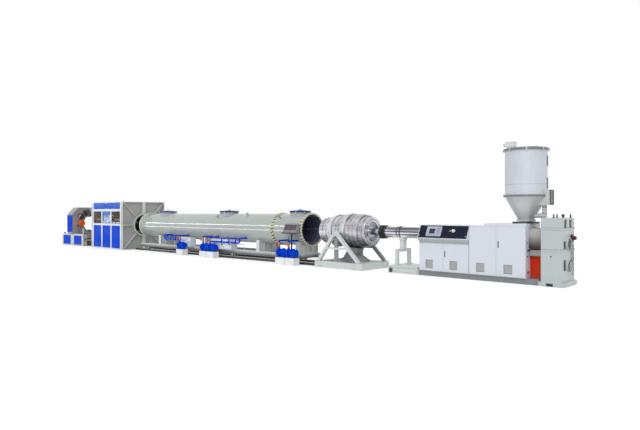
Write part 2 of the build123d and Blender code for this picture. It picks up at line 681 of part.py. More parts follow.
def make_die():
    lip_ring = DIE_BODY_START - LIP_RING_LENGTH
    write("die_lip", turned((
        (DIE_START, LIP_BORE), (DIE_START, LIP_RADIUS), (lip_ring, LIP_RADIUS), (lip_ring, LIP_RING_RADIUS),
        (DIE_BODY_START, LIP_RING_RADIUS), (DIE_BODY_START, LIP_BORE))))
    write("die_mandrel", turned((
        (DIE_START - MANDREL_NOSE, MANDREL_BORE), (DIE_START - MANDREL_NOSE, MANDREL_RADIUS - MANDREL_NOSE),
        (DIE_START, MANDREL_RADIUS), (DIE_BODY_START, MANDREL_RADIUS), (DIE_BODY_START, MANDREL_BORE))))

    flange = DIE_BODY_START + FRONT_FLANGE_LENGTH
    recess = DIE_END - BACK_RECESS_DEPTH
    write("die_body", turned((
        (DIE_BODY_START, 0), (DIE_BODY_START, FRONT_FLANGE_RADIUS), (flange, FRONT_FLANGE_RADIUS),
        (flange, FRONT_BODY_RADIUS), (DIE_MAIN_START, FRONT_BODY_RADIUS),
        (DIE_MAIN_START, MAIN_FLANGE_RADIUS),
        (DIE_REAR_START, MAIN_FLANGE_RADIUS), (DIE_REAR_START, REAR_BODY_RADIUS),
        (DIE_BACK_START, REAR_BODY_RADIUS), (DIE_BACK_START, BACK_RING_RADIUS),
        (DIE_END - BACK_CHAMFER, BACK_RING_RADIUS), (DIE_END, BACK_RING_RADIUS - BACK_CHAMFER),
        (DIE_END, BACK_RECESS_RADIUS + BACK_CHAMFER), (DIE_END - BACK_CHAMFER, BACK_RECESS_RADIUS),
        (recess, BACK_RECESS_RADIUS), (recess, 0))))

    neck_start = recess + HUB_LENGTH
    write("die_neck", turned((
        (recess, 0), (recess, HUB_RADIUS), (neck_start, HUB_RADIUS), (neck_start, NECK_PIPE_RADIUS),
        (CLAMP_START, NECK_PIPE_RADIUS), (CLAMP_START, 0))))

    bands = [
        heater_band(flange + BAND_GAP, FRONT_BODY_RADIUS),
        heater_band(flange + 2 * BAND_GAP + BAND_LENGTH, FRONT_BODY_RADIUS),
        heater_band(DIE_REAR_START + BAND_GAP, REAR_BODY_RADIUS),
        heater_band(DIE_REAR_START + 2 * BAND_GAP + BAND_LENGTH, REAR_BODY_RADIUS),
        heater_band(DIE_REAR_START + 3 * BAND_GAP + 2 * BAND_LENGTH, REAR_BODY_RADIUS),
        heater_band(DIE_BACK_START + BAND_GAP, BACK_RING_RADIUS),
        heater_band(DIE_START + BAND_GAP, LIP_RADIUS),
        heater_band(DIE_START + 2 * BAND_GAP + BAND_LENGTH, LIP_RADIUS)]
    write("die_heater_bands", *bands)


def heater_band(start, radius):
    """A clamped band with its closing lug on top."""
    inner = radius + SEAT
    outer = inner + BAND_THICKNESS
    band = ring_x((start, start + BAND_LENGTH), outer, inner)
    lug_x = span(start + BAND_LENGTH / 2, BAND_LENGTH - BAND_GAP)
    lug_z = (AXIS_Z + inner + BAND_THICKNESS / 2, AXIS_Z + outer + BAND_LUG / 2)
    lug = block(lug_x, span(0, BAND_LUG), lug_z)
    return band + lug


def make_die_stand():
    side = STAND_HALF_WIDTH
    frame = block((STAND_START, STAND_END), (-side, side), (0, STAND_HEIGHT))
    frame -= block((STAND_START + STAND_BEAM, STAND_END - STAND_BEAM), (STAND_BEAM - side, side - STAND_BEAM),
                   (-OVERRUN, STAND_HEIGHT + OVERRUN))
    crosses = [STAND_START + share * STAND_LENGTH for share in STAND_CROSS_SHARES]
    for x in crosses:
        frame += block(span(x, STAND_BEAM), (-side + STAND_BEAM, side - STAND_BEAM), (0, STAND_HEIGHT))
    for share in AXLE_CAP_SHARES:
        x = STAND_START + share * STAND_LENGTH
        for y in ((-side - AXLE_CAP_LENGTH, -side), (side, side + AXLE_CAP_LENGTH)):
            frame += rod_y(y, AXLE_CAP_RADIUS, x, STAND_HEIGHT / 2)
    front = trestle()
    write("die_trestles", front, mirrored_y(front))

    neck = span((crosses[0] + crosses[1]) / 2, PEDESTAL_NECK)
    foot = (crosses[0] - STAND_BEAM / 2, crosses[1] + STAND_BEAM / 2)
    shoulder = STAND_HEIGHT + PEDESTAL_FLARE
    outline = (
        (foot[0], STAND_HEIGHT), (foot[1], STAND_HEIGHT), (foot[1], STAND_HEIGHT + PEDESTAL_PLATE),
        (neck[1], shoulder), (foot[1], AXIS_Z), (foot[0], AXIS_Z), (neck[0], shoulder),
        (foot[0], STAND_HEIGHT + PEDESTAL_PLATE))
    pedestal = prism_y(outline, span(0, PEDESTAL_DEPTH))
    pedestal -= rod_x((foot[0] - OVERRUN, foot[1] + OVERRUN), MAIN_FLANGE_RADIUS + SEAT)
    write("die_stand_frame", frame + pedestal)


def trestle():
    """One A-shaped trestle on the front beam, with a tie and a trunnion at its top."""
    top_x = STAND_START + TRESTLE_TOP_SHARE * STAND_LENGTH
    feet = [STAND_START + share * STAND_LENGTH for share in TRESTLE_FOOT_SHARES]
    half = TRESTLE_LEG / 2
    outer = -STAND_HALF_WIDTH
    y = (outer, outer + TRESTLE_DEPTH)
    legs = None
    for x in feet:
        outline = (
            (x - half, STAND_HEIGHT), (x + half, STAND_HEIGHT),
            (top_x + half, TRESTLE_TOP), (top_x - half, TRESTLE_TOP))
        leg = prism_y(outline, y)
        legs = leg if legs is None else legs + leg
    tie_z = STAND_HEIGHT + TRESTLE_TIE_SHARE * (TRESTLE_TOP - STAND_HEIGHT)
    tie_ends = [x + TRESTLE_TIE_SHARE * (top_x - x) for x in feet]
    legs += block(tie_ends, y, span(tie_z, TRESTLE_TIE))
    pin = rod_y((outer, 0), TRUNNION_RADIUS, top_x, TRESTLE_TOP - TRUNNION_RADIUS)
    pin -= rod_x((STAND_START, STAND_END), MAIN_FLANGE_RADIUS + SEAT)
    return legs + pin


def make_barrel():
    collar = CLAMP_START + CLAMP_LENGTH
    hexagon = Plane.YZ.offset(CLAMP_START) * (Pos(0, AXIS_Z) * RegularPolygon(CLAMP_RADIUS, CLAMP_SIDES))
    clamp = extrude(hexagon, CLAMP_LENGTH)
    write("die_clamp", clamp + rod_x((collar, BARREL_START), CLAMP_COLLAR_RADIUS))
    cover = rod_x((BARREL_START, CONTROL_START), BARREL_RADIUS)
    write("barrel_cover", cover + rod_x((BARREL_RING_START, REAR_BARREL_START), BARREL_RING_RADIUS))

    x = span(BARREL_STAND_X, BARREL_STAND_POST)
    line = BARREL_STAND_GAUGE / 2
    reach = line + BARREL_STAND_POST / 2
    stand = block(x, (-reach, reach), (BARREL_STAND_TOP - BARREL_STAND_BEAM, BARREL_STAND_TOP))
    for y in (-line, line):
        stand += block(x, span(y, BARREL_STAND_POST), (BASE_FRONT_HEIGHT, BARREL_STAND_TOP))
    stand += block(span(BARREL_STAND_X, BARREL_COLUMN), span(0, BARREL_COLUMN), (BARREL_STAND_TOP, AXIS_Z))
    cradle_z = AXIS_Z - BARREL_RADIUS
    stand += block(span(BARREL_STAND_X, BARREL_CRADLE_LENGTH), span(0, BARREL_CRADLE_WIDTH),
                   (cradle_z - BARREL_CRADLE_DEPTH, AXIS_Z - BARREL_CRADLE_DEPTH))
    stand -= rod_x((BASE_START, CONTROL_START), BARREL_RADIUS + SEAT)
    stand -= rod_x((BARREL_RING_START - SEAT, REAR_BARREL_START + SEAT), BARREL_RING_RADIUS + SEAT)
    write("barrel_stand", stand)


def make_base():
    plinth_end = BASE_START + FRONT_PLINTH_LENGTH
    end = GEARBOX_START - GEARBOX_FOOT_REACH
    half = BASE_HALF_WIDTH
    toe = half - BASE_TOE_INSET
    base = block((BASE_START, plinth_end), (-half, half), (0, BASE_FRONT_HEIGHT))
    base += block((plinth_end, end), (-toe, toe), (0, CABINET_FOOT))
    groove_z = (BASE_FLANGE, BASE_FRONT_HEIGHT - BASE_FLANGE)
    groove_x = (BASE_START + BASE_FLANGE, plinth_end - BASE_FLANGE)
    groove = block(groove_x, (-half, -half + BASE_SIDE_GROOVE), groove_z)
    base -= groove
    base -= mirrored_y(groove)
    write("extruder_base", base)


def door_lines(start, length):
    """The two hinge lines of a pair of doors, and where the leaves meet."""
    return (start + DOOR_EDGE, start + length - DOOR_EDGE, start + length / 2)


def door_y():
    """Middle plane of a closed door leaf."""
    return -CABINET_HALF_WIDTH - RUNNING_GAP - DOOR_THICKNESS / 2


def hinge_lugs(start, length, foot, head):
    """Lugs with pins above and below the hinge edge of both leaves."""
    y = (door_y() - DOOR_THICKNESS / 2, -CABINET_HALF_WIDTH)
    lugs = []
    for x in door_lines(start, length)[:2]:
        low = block(span(x, DOOR_THICKNESS), y, (foot - RUNNING_GAP - HINGE_LUG, foot - RUNNING_GAP))
        low += rod_z((foot - RUNNING_GAP, foot + HINGE_PIN_LENGTH), HINGE_PIN_RADIUS, x, door_y())
        high = block(span(x, DOOR_THICKNESS), y, (head + RUNNING_GAP, head + RUNNING_GAP + HINGE_LUG))
        high += rod_z((head - HINGE_PIN_LENGTH, head + RUNNING_GAP), HINGE_PIN_RADIUS, x, door_y())
        lugs.append(low + high)
    return lugs


def door_leaf(hinge, meeting, foot, head):
    """A leaf with a rolled hinge edge and a vent recess; the right-hand leaf has a pull recess too."""
    side = 1 if meeting > hinge else -1
    edge = meeting - side * DOOR_MEETING_GAP / 2
    x = (min(hinge, edge), max(hinge, edge))
    y = span(door_y(), DOOR_THICKNESS)
    leaf = block(x, y, (foot, head))
    leaf += rod_z((foot, head), DOOR_THICKNESS / 2, hinge, door_y())
    bore = HINGE_PIN_RADIUS + SEAT
    for z in ((foot, foot + HINGE_PIN_LENGTH + RUNNING_GAP), (head - HINGE_PIN_LENGTH - RUNNING_GAP, head)):
        leaf -= rod_z(z, bore, hinge, door_y())
    vent_x = x[0] + VENT_PLACE_SHARE * (x[1] - x[0])
    vent_z = (foot + VENT_FOOT, foot + VENT_FOOT + VENT_HEIGHT)
    leaf -= block(span(vent_x, VENT_WIDTH), (y[0], y[0] + VENT_DEPTH), vent_z)
    if hinge > meeting:
        pull_z = span(head - PULL_PLACE_SHARE * (head - foot), PULL_HEIGHT)
        leaf -= block(span(edge + PULL_EDGE, PULL_WIDTH), (y[0], y[0] + PULL_DEPTH), pull_z)
    return leaf


def make_cabinets():
    half = CABINET_HALF_WIDTH
    foot = CABINET_FOOT + HINGE_LUG + RUNNING_GAP
    control_x = (CONTROL_START, DRIVE_START)
    outline = (
        (half, CABINET_FOOT), (half, CABINET_TOP), (-DESK_TOP_Y, CABINET_TOP), (-DESK_LOW_Y, DESK_LOW_Z),
        (-half, DESK_UNDER_Z), (-half, CABINET_FOOT))
    control = prism_x(outline, control_x)
    control -= bay(control_x)
    control_head = DESK_UNDER_Z - HINGE_LUG - RUNNING_GAP
    for lug in hinge_lugs(CONTROL_START, CONTROL_LENGTH, foot, control_head):
        control += lug
    write("control_cabinet", control)

    drive_x = (DRIVE_START, DRIVE_END)
    drive = block(drive_x, (-half, half), (CABINET_FOOT, CABINET_TOP)) - bay(drive_x)
    wall_x = (DRIVE_END - CABINET_WALL, DRIVE_END)
    shaft_hole = rod_x(wall_x, DRIVE_SHAFT_RADIUS + RUNNING_GAP, 0, MOTOR_CENTRE_Z)
    drive -= shaft_hole
    drive_head = CABINET_TOP - HINGE_LUG - RUNNING_GAP
    for lug in hinge_lugs(DRIVE_START, DRIVE_LENGTH, foot, drive_head):
        drive += lug
    roof_x = (DRIVE_START + ROOF_START_SHARE * DRIVE_LENGTH, DRIVE_END)
    drive += block(roof_x, (-half, half), (CABINET_TOP, CABINET_TOP + ROOF_RISE))
    write("drive_cabinet", drive)

    left, right, meeting = door_lines(CONTROL_START, CONTROL_LENGTH)
    write("control_door_left", door_leaf(left, meeting, foot, control_head))
    write("control_door_right", door_leaf(right, meeting, foot, control_head))
    left, right, meeting = door_lines(DRIVE_START, DRIVE_LENGTH)
    write("drive_door_left", door_leaf(left, meeting, foot, drive_head))
    write("drive_door_right", door_leaf(right, meeting, foot, drive_head))


def bay(x):
    """The room behind a pair of doors."""
    inner = CABINET_HALF_WIDTH - CABINET_WALL
    return block((x[0] + CABINET_WALL, x[1] - CABINET_WALL), (-CABINET_HALF_WIDTH, inner),
                 (CABINET_FOOT + CABINET_WALL, BAY_TOP))


def make_desk():
    """The dark face plate on the desk's slope, its screen unit and its buttons."""
    low = Vector(0, -DESK_LOW_Y, DESK_LOW_Z)
    high = Vector(0, -DESK_TOP_Y, CABINET_TOP)
    along = (high - low).normalized()
    out = Vector(0, -along.Z, along.Y)
    length = (high - low).length
    x = (CONTROL_START + PANEL_MARGIN, DRIVE_START - PANEL_MARGIN)
    middle = (low + high) / 2
    slope = Plane(origin=(0, middle.Y, middle.Z), x_dir=(1, 0, 0), z_dir=(0, out.Y, out.Z))

    def on_slope(centre_x, width, height, depth, lift):
        centre = slope * Pos(centre_x, 0, lift + depth / 2)
        return centre * Box(width, height, depth)

    plate_height = length - 2 * PANEL_MARGIN
    write("desk_panel", on_slope((x[0] + x[1]) / 2, x[1] - x[0], plate_height, PANEL_PLATE, 0))
    unit_x = CONTROL_START + OPERATOR_PLACE_SHARE * CONTROL_LENGTH
    unit = on_slope(unit_x, OPERATOR_WIDTH, OPERATOR_HEIGHT, OPERATOR_DEPTH, PANEL_PLATE)
    lift = PANEL_PLATE + OPERATOR_DEPTH - OPERATOR_SCREEN_DEPTH
    wide, tall = OPERATOR_SCREEN_SHARES
    screen_x = unit_x + OPERATOR_SCREEN_PLACE_SHARE * OPERATOR_WIDTH
    unit -= on_slope(screen_x, wide * OPERATOR_WIDTH, tall * OPERATOR_HEIGHT, OPERATOR_SCREEN_DEPTH, lift)
    controls = [unit]
    for share, radius, height in zip(BUTTON_SHARES, BUTTON_RADII, BUTTON_LENGTHS):
        centre = slope * Pos(CONTROL_START + share * CONTROL_LENGTH, BUTTON_RISE, PANEL_PLATE + height / 2)
        controls.append(centre * Cylinder(radius, height))
    write("desk_controls", *controls)


def make_drive():
    motor_end = DRIVE_END - DRIVE_MOTOR_END_GAP
    motor_x = (motor_end - DRIVE_MOTOR_LENGTH, motor_end)
    motor = rod_x(motor_x, DRIVE_MOTOR_RADIUS, 0, MOTOR_CENTRE_Z)
    foot_x = span((motor_x[0] + motor_x[1]) / 2, DRIVE_MOTOR_FOOT_LENGTH)
    floor = CABINET_FOOT + CABINET_WALL
    motor += block(foot_x, span(0, DRIVE_MOTOR_FOOT_WIDTH), (floor, MOTOR_CENTRE_Z))
    guard_x = (DRIVE_END + GUARD_END_GAP, GEARBOX_START - GEARBOX_FOOT_REACH)
    motor += rod_x((motor_end, guard_x[0]), DRIVE_SHAFT_RADIUS, 0, MOTOR_CENTRE_Z)
    write("drive_motor", motor)

    write("coupling_guard", block(guard_x, (-GUARD_HALF_WIDTH, GUARD_HALF_WIDTH), (CABINET_FOOT, GUARD_TOP)))

    flange = DRIVE_END + THRUST_FLANGE_LENGTH
    last = GEARBOX_START - THRUST_FLANGE_LENGTH
    write("thrust_housing", turned((
        (DRIVE_END, 0), (DRIVE_END, THRUST_FLANGE_RADIUS), (flange, THRUST_FLANGE_RADIUS),
        (flange, THRUST_RADIUS),
        (last, THRUST_RADIUS), (last, THRUST_FLANGE_RADIUS), (GEARBOX_START, THRUST_FLANGE_RADIUS),
        (GEARBOX_START, 0))))


def make_gearbox():
    half = GEARBOX_HALF_WIDTH
    x = (GEARBOX_START, GEARBOX_END)
    body = block(x, (-half, half), (0, GEARBOX_HEIGHT))
    body = fillet(body.edges().filter_by(Axis.Z), GEARBOX_EDGE)
    body = chamfer(body.faces().sort_by(Axis.Z)[-1].edges(), GEARBOX_EDGE / 2)
    for share in GEARBOX_LEDGE_SHARES:
        z = span(share * GEARBOX_HEIGHT, GEARBOX_LEDGE_HEIGHT)
        ledge_x = (x[0] + GEARBOX_LEDGE, x[1] + GEARBOX_LEDGE)
        ledge = block(ledge_x, (-half - GEARBOX_LEDGE, half + GEARBOX_LEDGE), z)
        body += fillet(ledge.edges().filter_by(Axis.Z), GEARBOX_EDGE)
    foot_x = (x[0] - GEARBOX_FOOT_REACH, x[1] + GEARBOX_FOOT_REACH)
    foot = block(foot_x, (-half, half), (0, GEARBOX_FOOT_HEIGHT))
    for foot_x in (x[0] - ANCHOR_INSET, x[1] + ANCHOR_INSET):
        for y in (-ANCHOR_LINE, ANCHOR_LINE):
            foot -= rod_z((0, GEARBOX_FOOT_HEIGHT), ANCHOR_RADIUS, foot_x, y)
    body += foot
    foot_x = x[0] + FOOT_POCKET_PLACE_SHARE * GEARBOX_LENGTH
    for y in ((-half, -half + FOOT_POCKET_DEPTH), (half - FOOT_POCKET_DEPTH, half)):
        body -= block(span(foot_x, FOOT_POCKET_LENGTH), y, (0, FOOT_POCKET_HEIGHT))
    pocket_z = (GEARBOX_HEIGHT - POCKET_TOP - POCKET_HEIGHT, GEARBOX_HEIGHT - POCKET_TOP)
    for y in (-POCKET_PLACE, POCKET_PLACE):
        body -= block((x[1] - POCKET_DEPTH, x[1] + OVERRUN), span(y, POCKET_WIDTH), pocket_z)
    for z, radius in ((AXIS_Z - UPPER_CAP_RADIUS, UPPER_CAP_RADIUS), (LOWER_CAP_Z, LOWER_CAP_RADIUS)):
        cap = rod_x((x[1], x[1] + CAP_LENGTH), radius, 0, z)
        cap -= rod_x((x[1] + CAP_LENGTH / 2, x[1] + CAP_LENGTH), radius - CAP_RIM, 0, z)
        body += cap
    write("gearbox_housing", body)
    pump_x = (x[1], x[1] + CAP_LENGTH)
    pump = rod_x(pump_x, OIL_PUMP_RADIUS, OIL_PUMP_PLACE, OIL_PUMP_Z)
    nose_x = (pump_x[1], pump_x[1] + OIL_PUMP_LENGTH)
    write("oil_pump", pump + rod_x(nose_x, OIL_PUMP_RADIUS * OIL_PUMP_NOSE_SHARE, OIL_PUMP_PLACE, OIL_PUMP_Z))


def make_hopper():
    x = DRIVE_END - HOPPER_INSET
    inner = HOPPER_RADIUS - HOPPER_WALL
    ring = HOPPER_RADIUS + HOPPER_RING_REACH
    rim = HOPPER_TOP - HOPPER_RING_HEIGHT
    joint = HOPPER_JOINT_Z + HOPPER_RING_HEIGHT
    write("hopper_cylinder", spun((
        (inner, HOPPER_JOINT_Z), (ring, HOPPER_JOINT_Z), (ring, joint), (HOPPER_RADIUS, joint),
        (HOPPER_RADIUS, rim), (ring, rim), (ring, HOPPER_TOP), (inner, HOPPER_TOP)), x))
    low = HOPPER_JOINT_Z - HOPPER_RING_HEIGHT
    foot = HOPPER_FOOT_Z + HOPPER_RING_HEIGHT
    mouth = HOPPER_MOUTH_RADIUS - HOPPER_WALL
    cone = (
        (mouth, HOPPER_FOOT_Z), (HOPPER_FOOT_RING, HOPPER_FOOT_Z), (HOPPER_FOOT_RING, foot),
        (HOPPER_MOUTH_RADIUS, foot), (HOPPER_RADIUS, low), (ring, low), (ring, HOPPER_JOINT_Z),
        (inner, HOPPER_JOINT_Z), (inner, low), (mouth, foot))
    write("hopper_cone", spun(cone, x))
    edge = HOPPER_TOP + LID_EDGE
    write("hopper_lid", spun((
        (0, HOPPER_TOP), (ring, HOPPER_TOP), (ring, edge), (ring - LID_SLOPE, edge + LID_RISE),
        (0, edge + LID_RISE)), x))

    top = edge + LID_RISE
    loader_x = span(x - LOADER_PLACE_X, LOADER_LENGTH)
    base_width = LOADER_BASE_SHARE * LOADER_WIDTH
    base_x = span(x - LOADER_PLACE_X, LOADER_BASE_SHARE * LOADER_LENGTH)
    neck_top = top + LOADER_NECK_SHARE * LOADER_HEIGHT
    loader = block(base_x, span(-LOADER_PLACE_Y, base_width), (top, neck_top))
    loader += block(loader_x, span(-LOADER_PLACE_Y, LOADER_WIDTH), (neck_top, top + LOADER_HEIGHT))
    write("hopper_loader", loader)

    outline = ((0, HOPPER_FOOT_Z), (HOPPER_MOUTH_RADIUS + SEAT, foot), (HOPPER_RADIUS + SEAT, low),
               (ring + SEAT, low), (ring + SEAT, joint), (HOPPER_RADIUS + SEAT, joint),
               (HOPPER_RADIUS + SEAT, HOPPER_TOP), (0, HOPPER_TOP))
    envelope = spun(outline, x)
    blower_x = (x + inner / 2, x + ring + BLOWER_REACH)
    blower = block(blower_x, span(0, BLOWER_WIDTH), (BLOWER_BOTTOM, BLOWER_TOP)) - envelope
    duct_x = blower_x[1] - DUCT_INSET - DUCT_RADIUS
    elbow_z = BLOWER_BOTTOM - DUCT_ELBOW_DROP
    duct = rod_z((elbow_z, BLOWER_BOTTOM), DUCT_RADIUS, duct_x)
    duct += Pos(duct_x, 0, elbow_z) * Sphere(DUCT_RADIUS)
    duct += rod_x((x, duct_x), DUCT_RADIUS, 0, elbow_z)
    write("hopper_blower", blower + (duct - envelope))

    roof = CABINET_TOP + ROOF_RISE
    write("feed_throat", spun((
        (0, roof), (HOPPER_FOOT_RING, roof), (HOPPER_FOOT_RING, roof + THROAT_FLANGE),
        (THROAT_RADIUS, roof + THROAT_FLANGE), (THROAT_RADIUS, HOPPER_FOOT_Z - THROAT_FLANGE),
        (HOPPER_FOOT_RING, HOPPER_FOOT_Z - THROAT_FLANGE), (HOPPER_FOOT_RING, HOPPER_FOOT_Z),
        (0, HOPPER_FOOT_Z)), x))


def end_plate():
    """The haul-off's ribbed plate at the inlet end: web, edges, rim, spines and diagonals."""
    outer = HAUL_START
    web_x = (outer - END_RIB_DEPTH - END_PLATE, outer - END_RIB_DEPTH)
    rib_x = (outer - END_RIB_DEPTH, outer)
    half = HAUL_HALF_WIDTH
    plate = block(web_x, (-half, half), (0, HAUL_HEIGHT))
    edges = block(rib_x, (-half, half), (0, HAUL_HEIGHT))
    edges -= block(rib_x, (END_EDGE - half, half - END_EDGE), (END_EDGE, HAUL_HEIGHT - END_EDGE))
    ribs = edges
    ribs += block(rib_x, span(0, END_SPINE), (END_EDGE, HAUL_HEIGHT - END_EDGE))
    ribs += block(rib_x, (END_EDGE - half, half - END_EDGE), span(AXIS_Z, END_RIB))
    corner_y = half - END_EDGE
    for z in (END_EDGE, HAUL_HEIGHT - END_EDGE):
        for y in (-corner_y, corner_y):
            ribs += diagonal(rib_x, (y, z))
    ribs += rod_x(rib_x, END_RIM_RADIUS)
    hole = rod_x((web_x[0] - OVERRUN, outer + OVERRUN), END_HOLE_RADIUS)
    return plate + ribs - hole


def diagonal(x, corner):
    """A rib from a corner of the plate to the line's axis, as wide as the other ribs."""
    run = Vector(0, corner[0], corner[1] - AXIS_Z)
    across = Vector(0, -run.Z, run.Y).normalized() * (END_RIB / 2)
    points = (
        (across.Y, AXIS_Z + across.Z), (corner[0] + across.Y, corner[1] + across.Z),
        (corner[0] - across.Y, corner[1] - across.Z), (-across.Y, AXIS_Z - across.Z))
    box = block(x, (-HAUL_HALF_WIDTH, HAUL_HALF_WIDTH), (0, HAUL_HEIGHT))
    return prism_x(points, x) & box


def make_haul_off():
    inlet = end_plate()
    middle = (HAUL_START + HAUL_END) / 2
    write("haul_off_end_plates", inlet, mirror(inlet, Plane.YZ.offset(middle)))

    inner = END_PLATE + END_RIB_DEPTH
    x = (HAUL_END + inner, HAUL_START - inner)
    bay_length = (x[1] - x[0] - POST_WIDTH) / BAYS
    bays = []
    for index in range(BAYS):
        start = x[0] + POST_WIDTH + index * bay_length
        bays.append((start, start + bay_length - POST_WIDTH))
    header_x = (bays[0][0], bays[-1][1])

    outer = -HAUL_HALF_WIDTH
    frame_y = (outer, outer + SIDE_FRAME)
    header_z, window_z, panel_z = [
        (low * HAUL_HEIGHT, high * HAUL_HEIGHT) for low, high in (HEADER_SHARES, WINDOW_SHARES, PANEL_SHARES)]
    frame = block(x, frame_y, (0, HAUL_HEIGHT))
    frame -= block(header_x, frame_y, header_z)
    panel_y = (outer + PANEL_RECESS, outer + PANEL_RECESS + PANEL_SHEET)
    glass_y = (outer + GLASS_RECESS, outer + GLASS_RECESS + GLASS_SHEET)
    panels = [block(header_x, panel_y, header_z)]
    glass = []
    for bay_x in bays:
        frame -= block(bay_x, frame_y, window_z)
        frame -= block(bay_x, frame_y, panel_z)
        panels.append(block(bay_x, panel_y, panel_z))
        glass.append(block(bay_x, glass_y, window_z))
    write("haul_off_side_frames", frame, mirrored_y(frame))
    write("haul_off_panels", *panels, *[mirrored_y(panel) for panel in panels])
    write("haul_off_glass", *glass, *[mirrored_y(pane) for pane in glass])
    inside = HAUL_HALF_WIDTH - SIDE_FRAME
    write("haul_off_roof", block(x, (-inside, inside), (HAUL_HEIGHT - ROOF_SHEET, HAUL_HEIGHT)))
    make_tracks(x)


def stadium(x, z, radius):
    """A flat outline with two straight runs and round ends."""
    low = z - radius
    high = z + radius
    ends = Line((x[0], low), (x[1], low)) + ThreePointArc((x[1], low), (x[1] + radius, z), (x[1], high))
    ends += Line((x[1], high), (x[0], high)) + ThreePointArc((x[0], high), (x[0] - radius, z), (x[0], low))
    return make_face(ends)


def drawn_y(face, width):
    """A face in the XZ plane drawn out equally to both sides."""
    return extrude(Plane.XZ * face, width / 2, both=True)


def make_tracks(x):
    z = AXIS_Z + TRACK_PASSAGE_RADIUS + LOOP_RADIUS
    centres = (x[0] + LOOP_END_GAP + LOOP_RADIUS, x[1] - LOOP_END_GAP - LOOP_RADIUS)
    core = LOOP_RADIUS - LOOP_THICKNESS
    loop = drawn_y(stadium(centres, z, LOOP_RADIUS), TRACK_WIDTH)
    loop -= drawn_y(stadium(centres, z, core), TRACK_WIDTH + OVERRUN)
    pitch = (centres[1] - centres[0]) / PADS_PER_RUN
    notches = []
    for index in range(PADS_PER_RUN + 1):
        notch_x = span(centres[0] + index * pitch, PAD_NOTCH)
        for notch_z in ((z - LOOP_RADIUS, z - LOOP_RADIUS + PAD_NOTCH_DEPTH),
                        (z + LOOP_RADIUS - PAD_NOTCH_DEPTH, z + LOOP_RADIUS)):
            notches.append(block(notch_x, span(0, TRACK_WIDTH), notch_z))
    loop = loop.cut(*notches)

    cheek_y = TRACK_WIDTH / 2 + CHEEK_GAP
    cheek_z = (z - LOOP_RADIUS + CHEEK_INSET, z + LOOP_RADIUS - CHEEK_INSET)
    frame = drawn_y(stadium(centres, z, core - SEAT), 2 * cheek_y)
    for y in ((-cheek_y - CHEEK, -cheek_y), (cheek_y, cheek_y + CHEEK)):
        frame += block(x, y, cheek_z)
    angles = [index * 360 / TRACKS for index in range(TRACKS)]
    write("track_loops", *[about_line(loop, angle) for angle in angles])
    write("track_frames", *[about_line(frame, angle) for angle in angles])


def make_cutter_base():
    x = (CUTTER_END, CUTTER_START)
    outer = -CUTTER_HALF_WIDTH
    inner = outer + CUTTER_BEAM_WIDTH
    beam = block(x, (outer, inner), (0, CUTTER_BEAM_HEIGHT))
    panels = []
    panel_z = (CUTTER_PANEL_BOTTOM, CUTTER_BEAM_HEIGHT - CUTTER_PANEL_TOP)
    for low, high in CUTTER_PANEL_SHARES:
        panel_x = (CUTTER_END + low * CUTTER_LENGTH, CUTTER_END + high * CUTTER_LENGTH)
        beam -= block(panel_x, (outer, outer + CUTTER_PANEL_RECESS), panel_z)
        panel_y = (outer + CUTTER_PANEL_RECESS - PANEL_SHEET, outer + CUTTER_PANEL_RECESS)
        panels.append(block(panel_x, panel_y, panel_z))
    rail_y = span((outer + inner) / 2, SLIDE_RAIL_WIDTH)
    beam += block(x, rail_y, (CUTTER_BEAM_HEIGHT, CUTTER_BEAM_HEIGHT + SLIDE_RAIL_HEIGHT))
    post = block((CUTTER_START, CUTTER_START + END_POST), (outer, outer + END_POST), (0, END_POST_TOP))
    write("cutter_beams", beam + post, mirrored_y(beam))
    write("cutter_panels", *panels, *[mirrored_y(panel) for panel in panels])
    crosses = []
    for share in CROSS_SHARES:
        cross_x = span(CUTTER_END + share * CUTTER_LENGTH, CROSS_LENGTH)
        crosses.append(block(cross_x, (inner, -inner), (0, CROSS_HEIGHT)))
    write("cutter_crosses", *crosses)
    tie_x = (CUTTER_START, HAUL_END + END_RIB_DEPTH)
    tie_y = span((outer + inner) / 2, TIE_WIDTH)
    slope = (AXIS_Z - END_EDGE) / (HAUL_HALF_WIDTH - END_EDGE)
    rib_top = AXIS_Z + slope * tie_y[1] + END_RIB / 2 * (1 + slope ** 2) ** 0.5
    tie = block(tie_x, tie_y, (rib_top + TIE_OVER_RIB, rib_top + TIE_OVER_RIB + TIE_HEIGHT))
    write("cutter_ties", tie, mirrored_y(tie))


def make_carriage():
    x = (CUTTER_END + CARRIAGE_START, CUTTER_END + CARRIAGE_START + CARRIAGE_LENGTH)
    half = CARRIAGE_HALF_WIDTH
    foot = CUTTER_BEAM_HEIGHT + SLIDE_RAIL_HEIGHT + SEAT
    knee = half - CARRIAGE_CHAMFER
    shoulder = CARRIAGE_TOP - CARRIAGE_CHAMFER - CARRIAGE_KNEE
    drop = CARRIAGE_DROP_HALF_WIDTH
    outline = (
        (-half, foot), (-half, shoulder), (-knee, CARRIAGE_TOP), (knee, CARRIAGE_TOP), (half, shoulder),
        (half, foot), (drop, foot), (drop, CARRIAGE_DROP), (-drop, CARRIAGE_DROP), (-drop, foot))
    body = prism_x(outline, x) - rod_x((x[0] - OVERRUN, x[1] + OVERRUN), CARRIAGE_BORE)
    write("cutter_carriage", body)
    cover = block(x, (-half - COVER_SHEET, -half), (COVER_BOTTOM, COVER_TOP))
    write("carriage_covers", cover, mirrored_y(cover))
    make_saw(x[1])


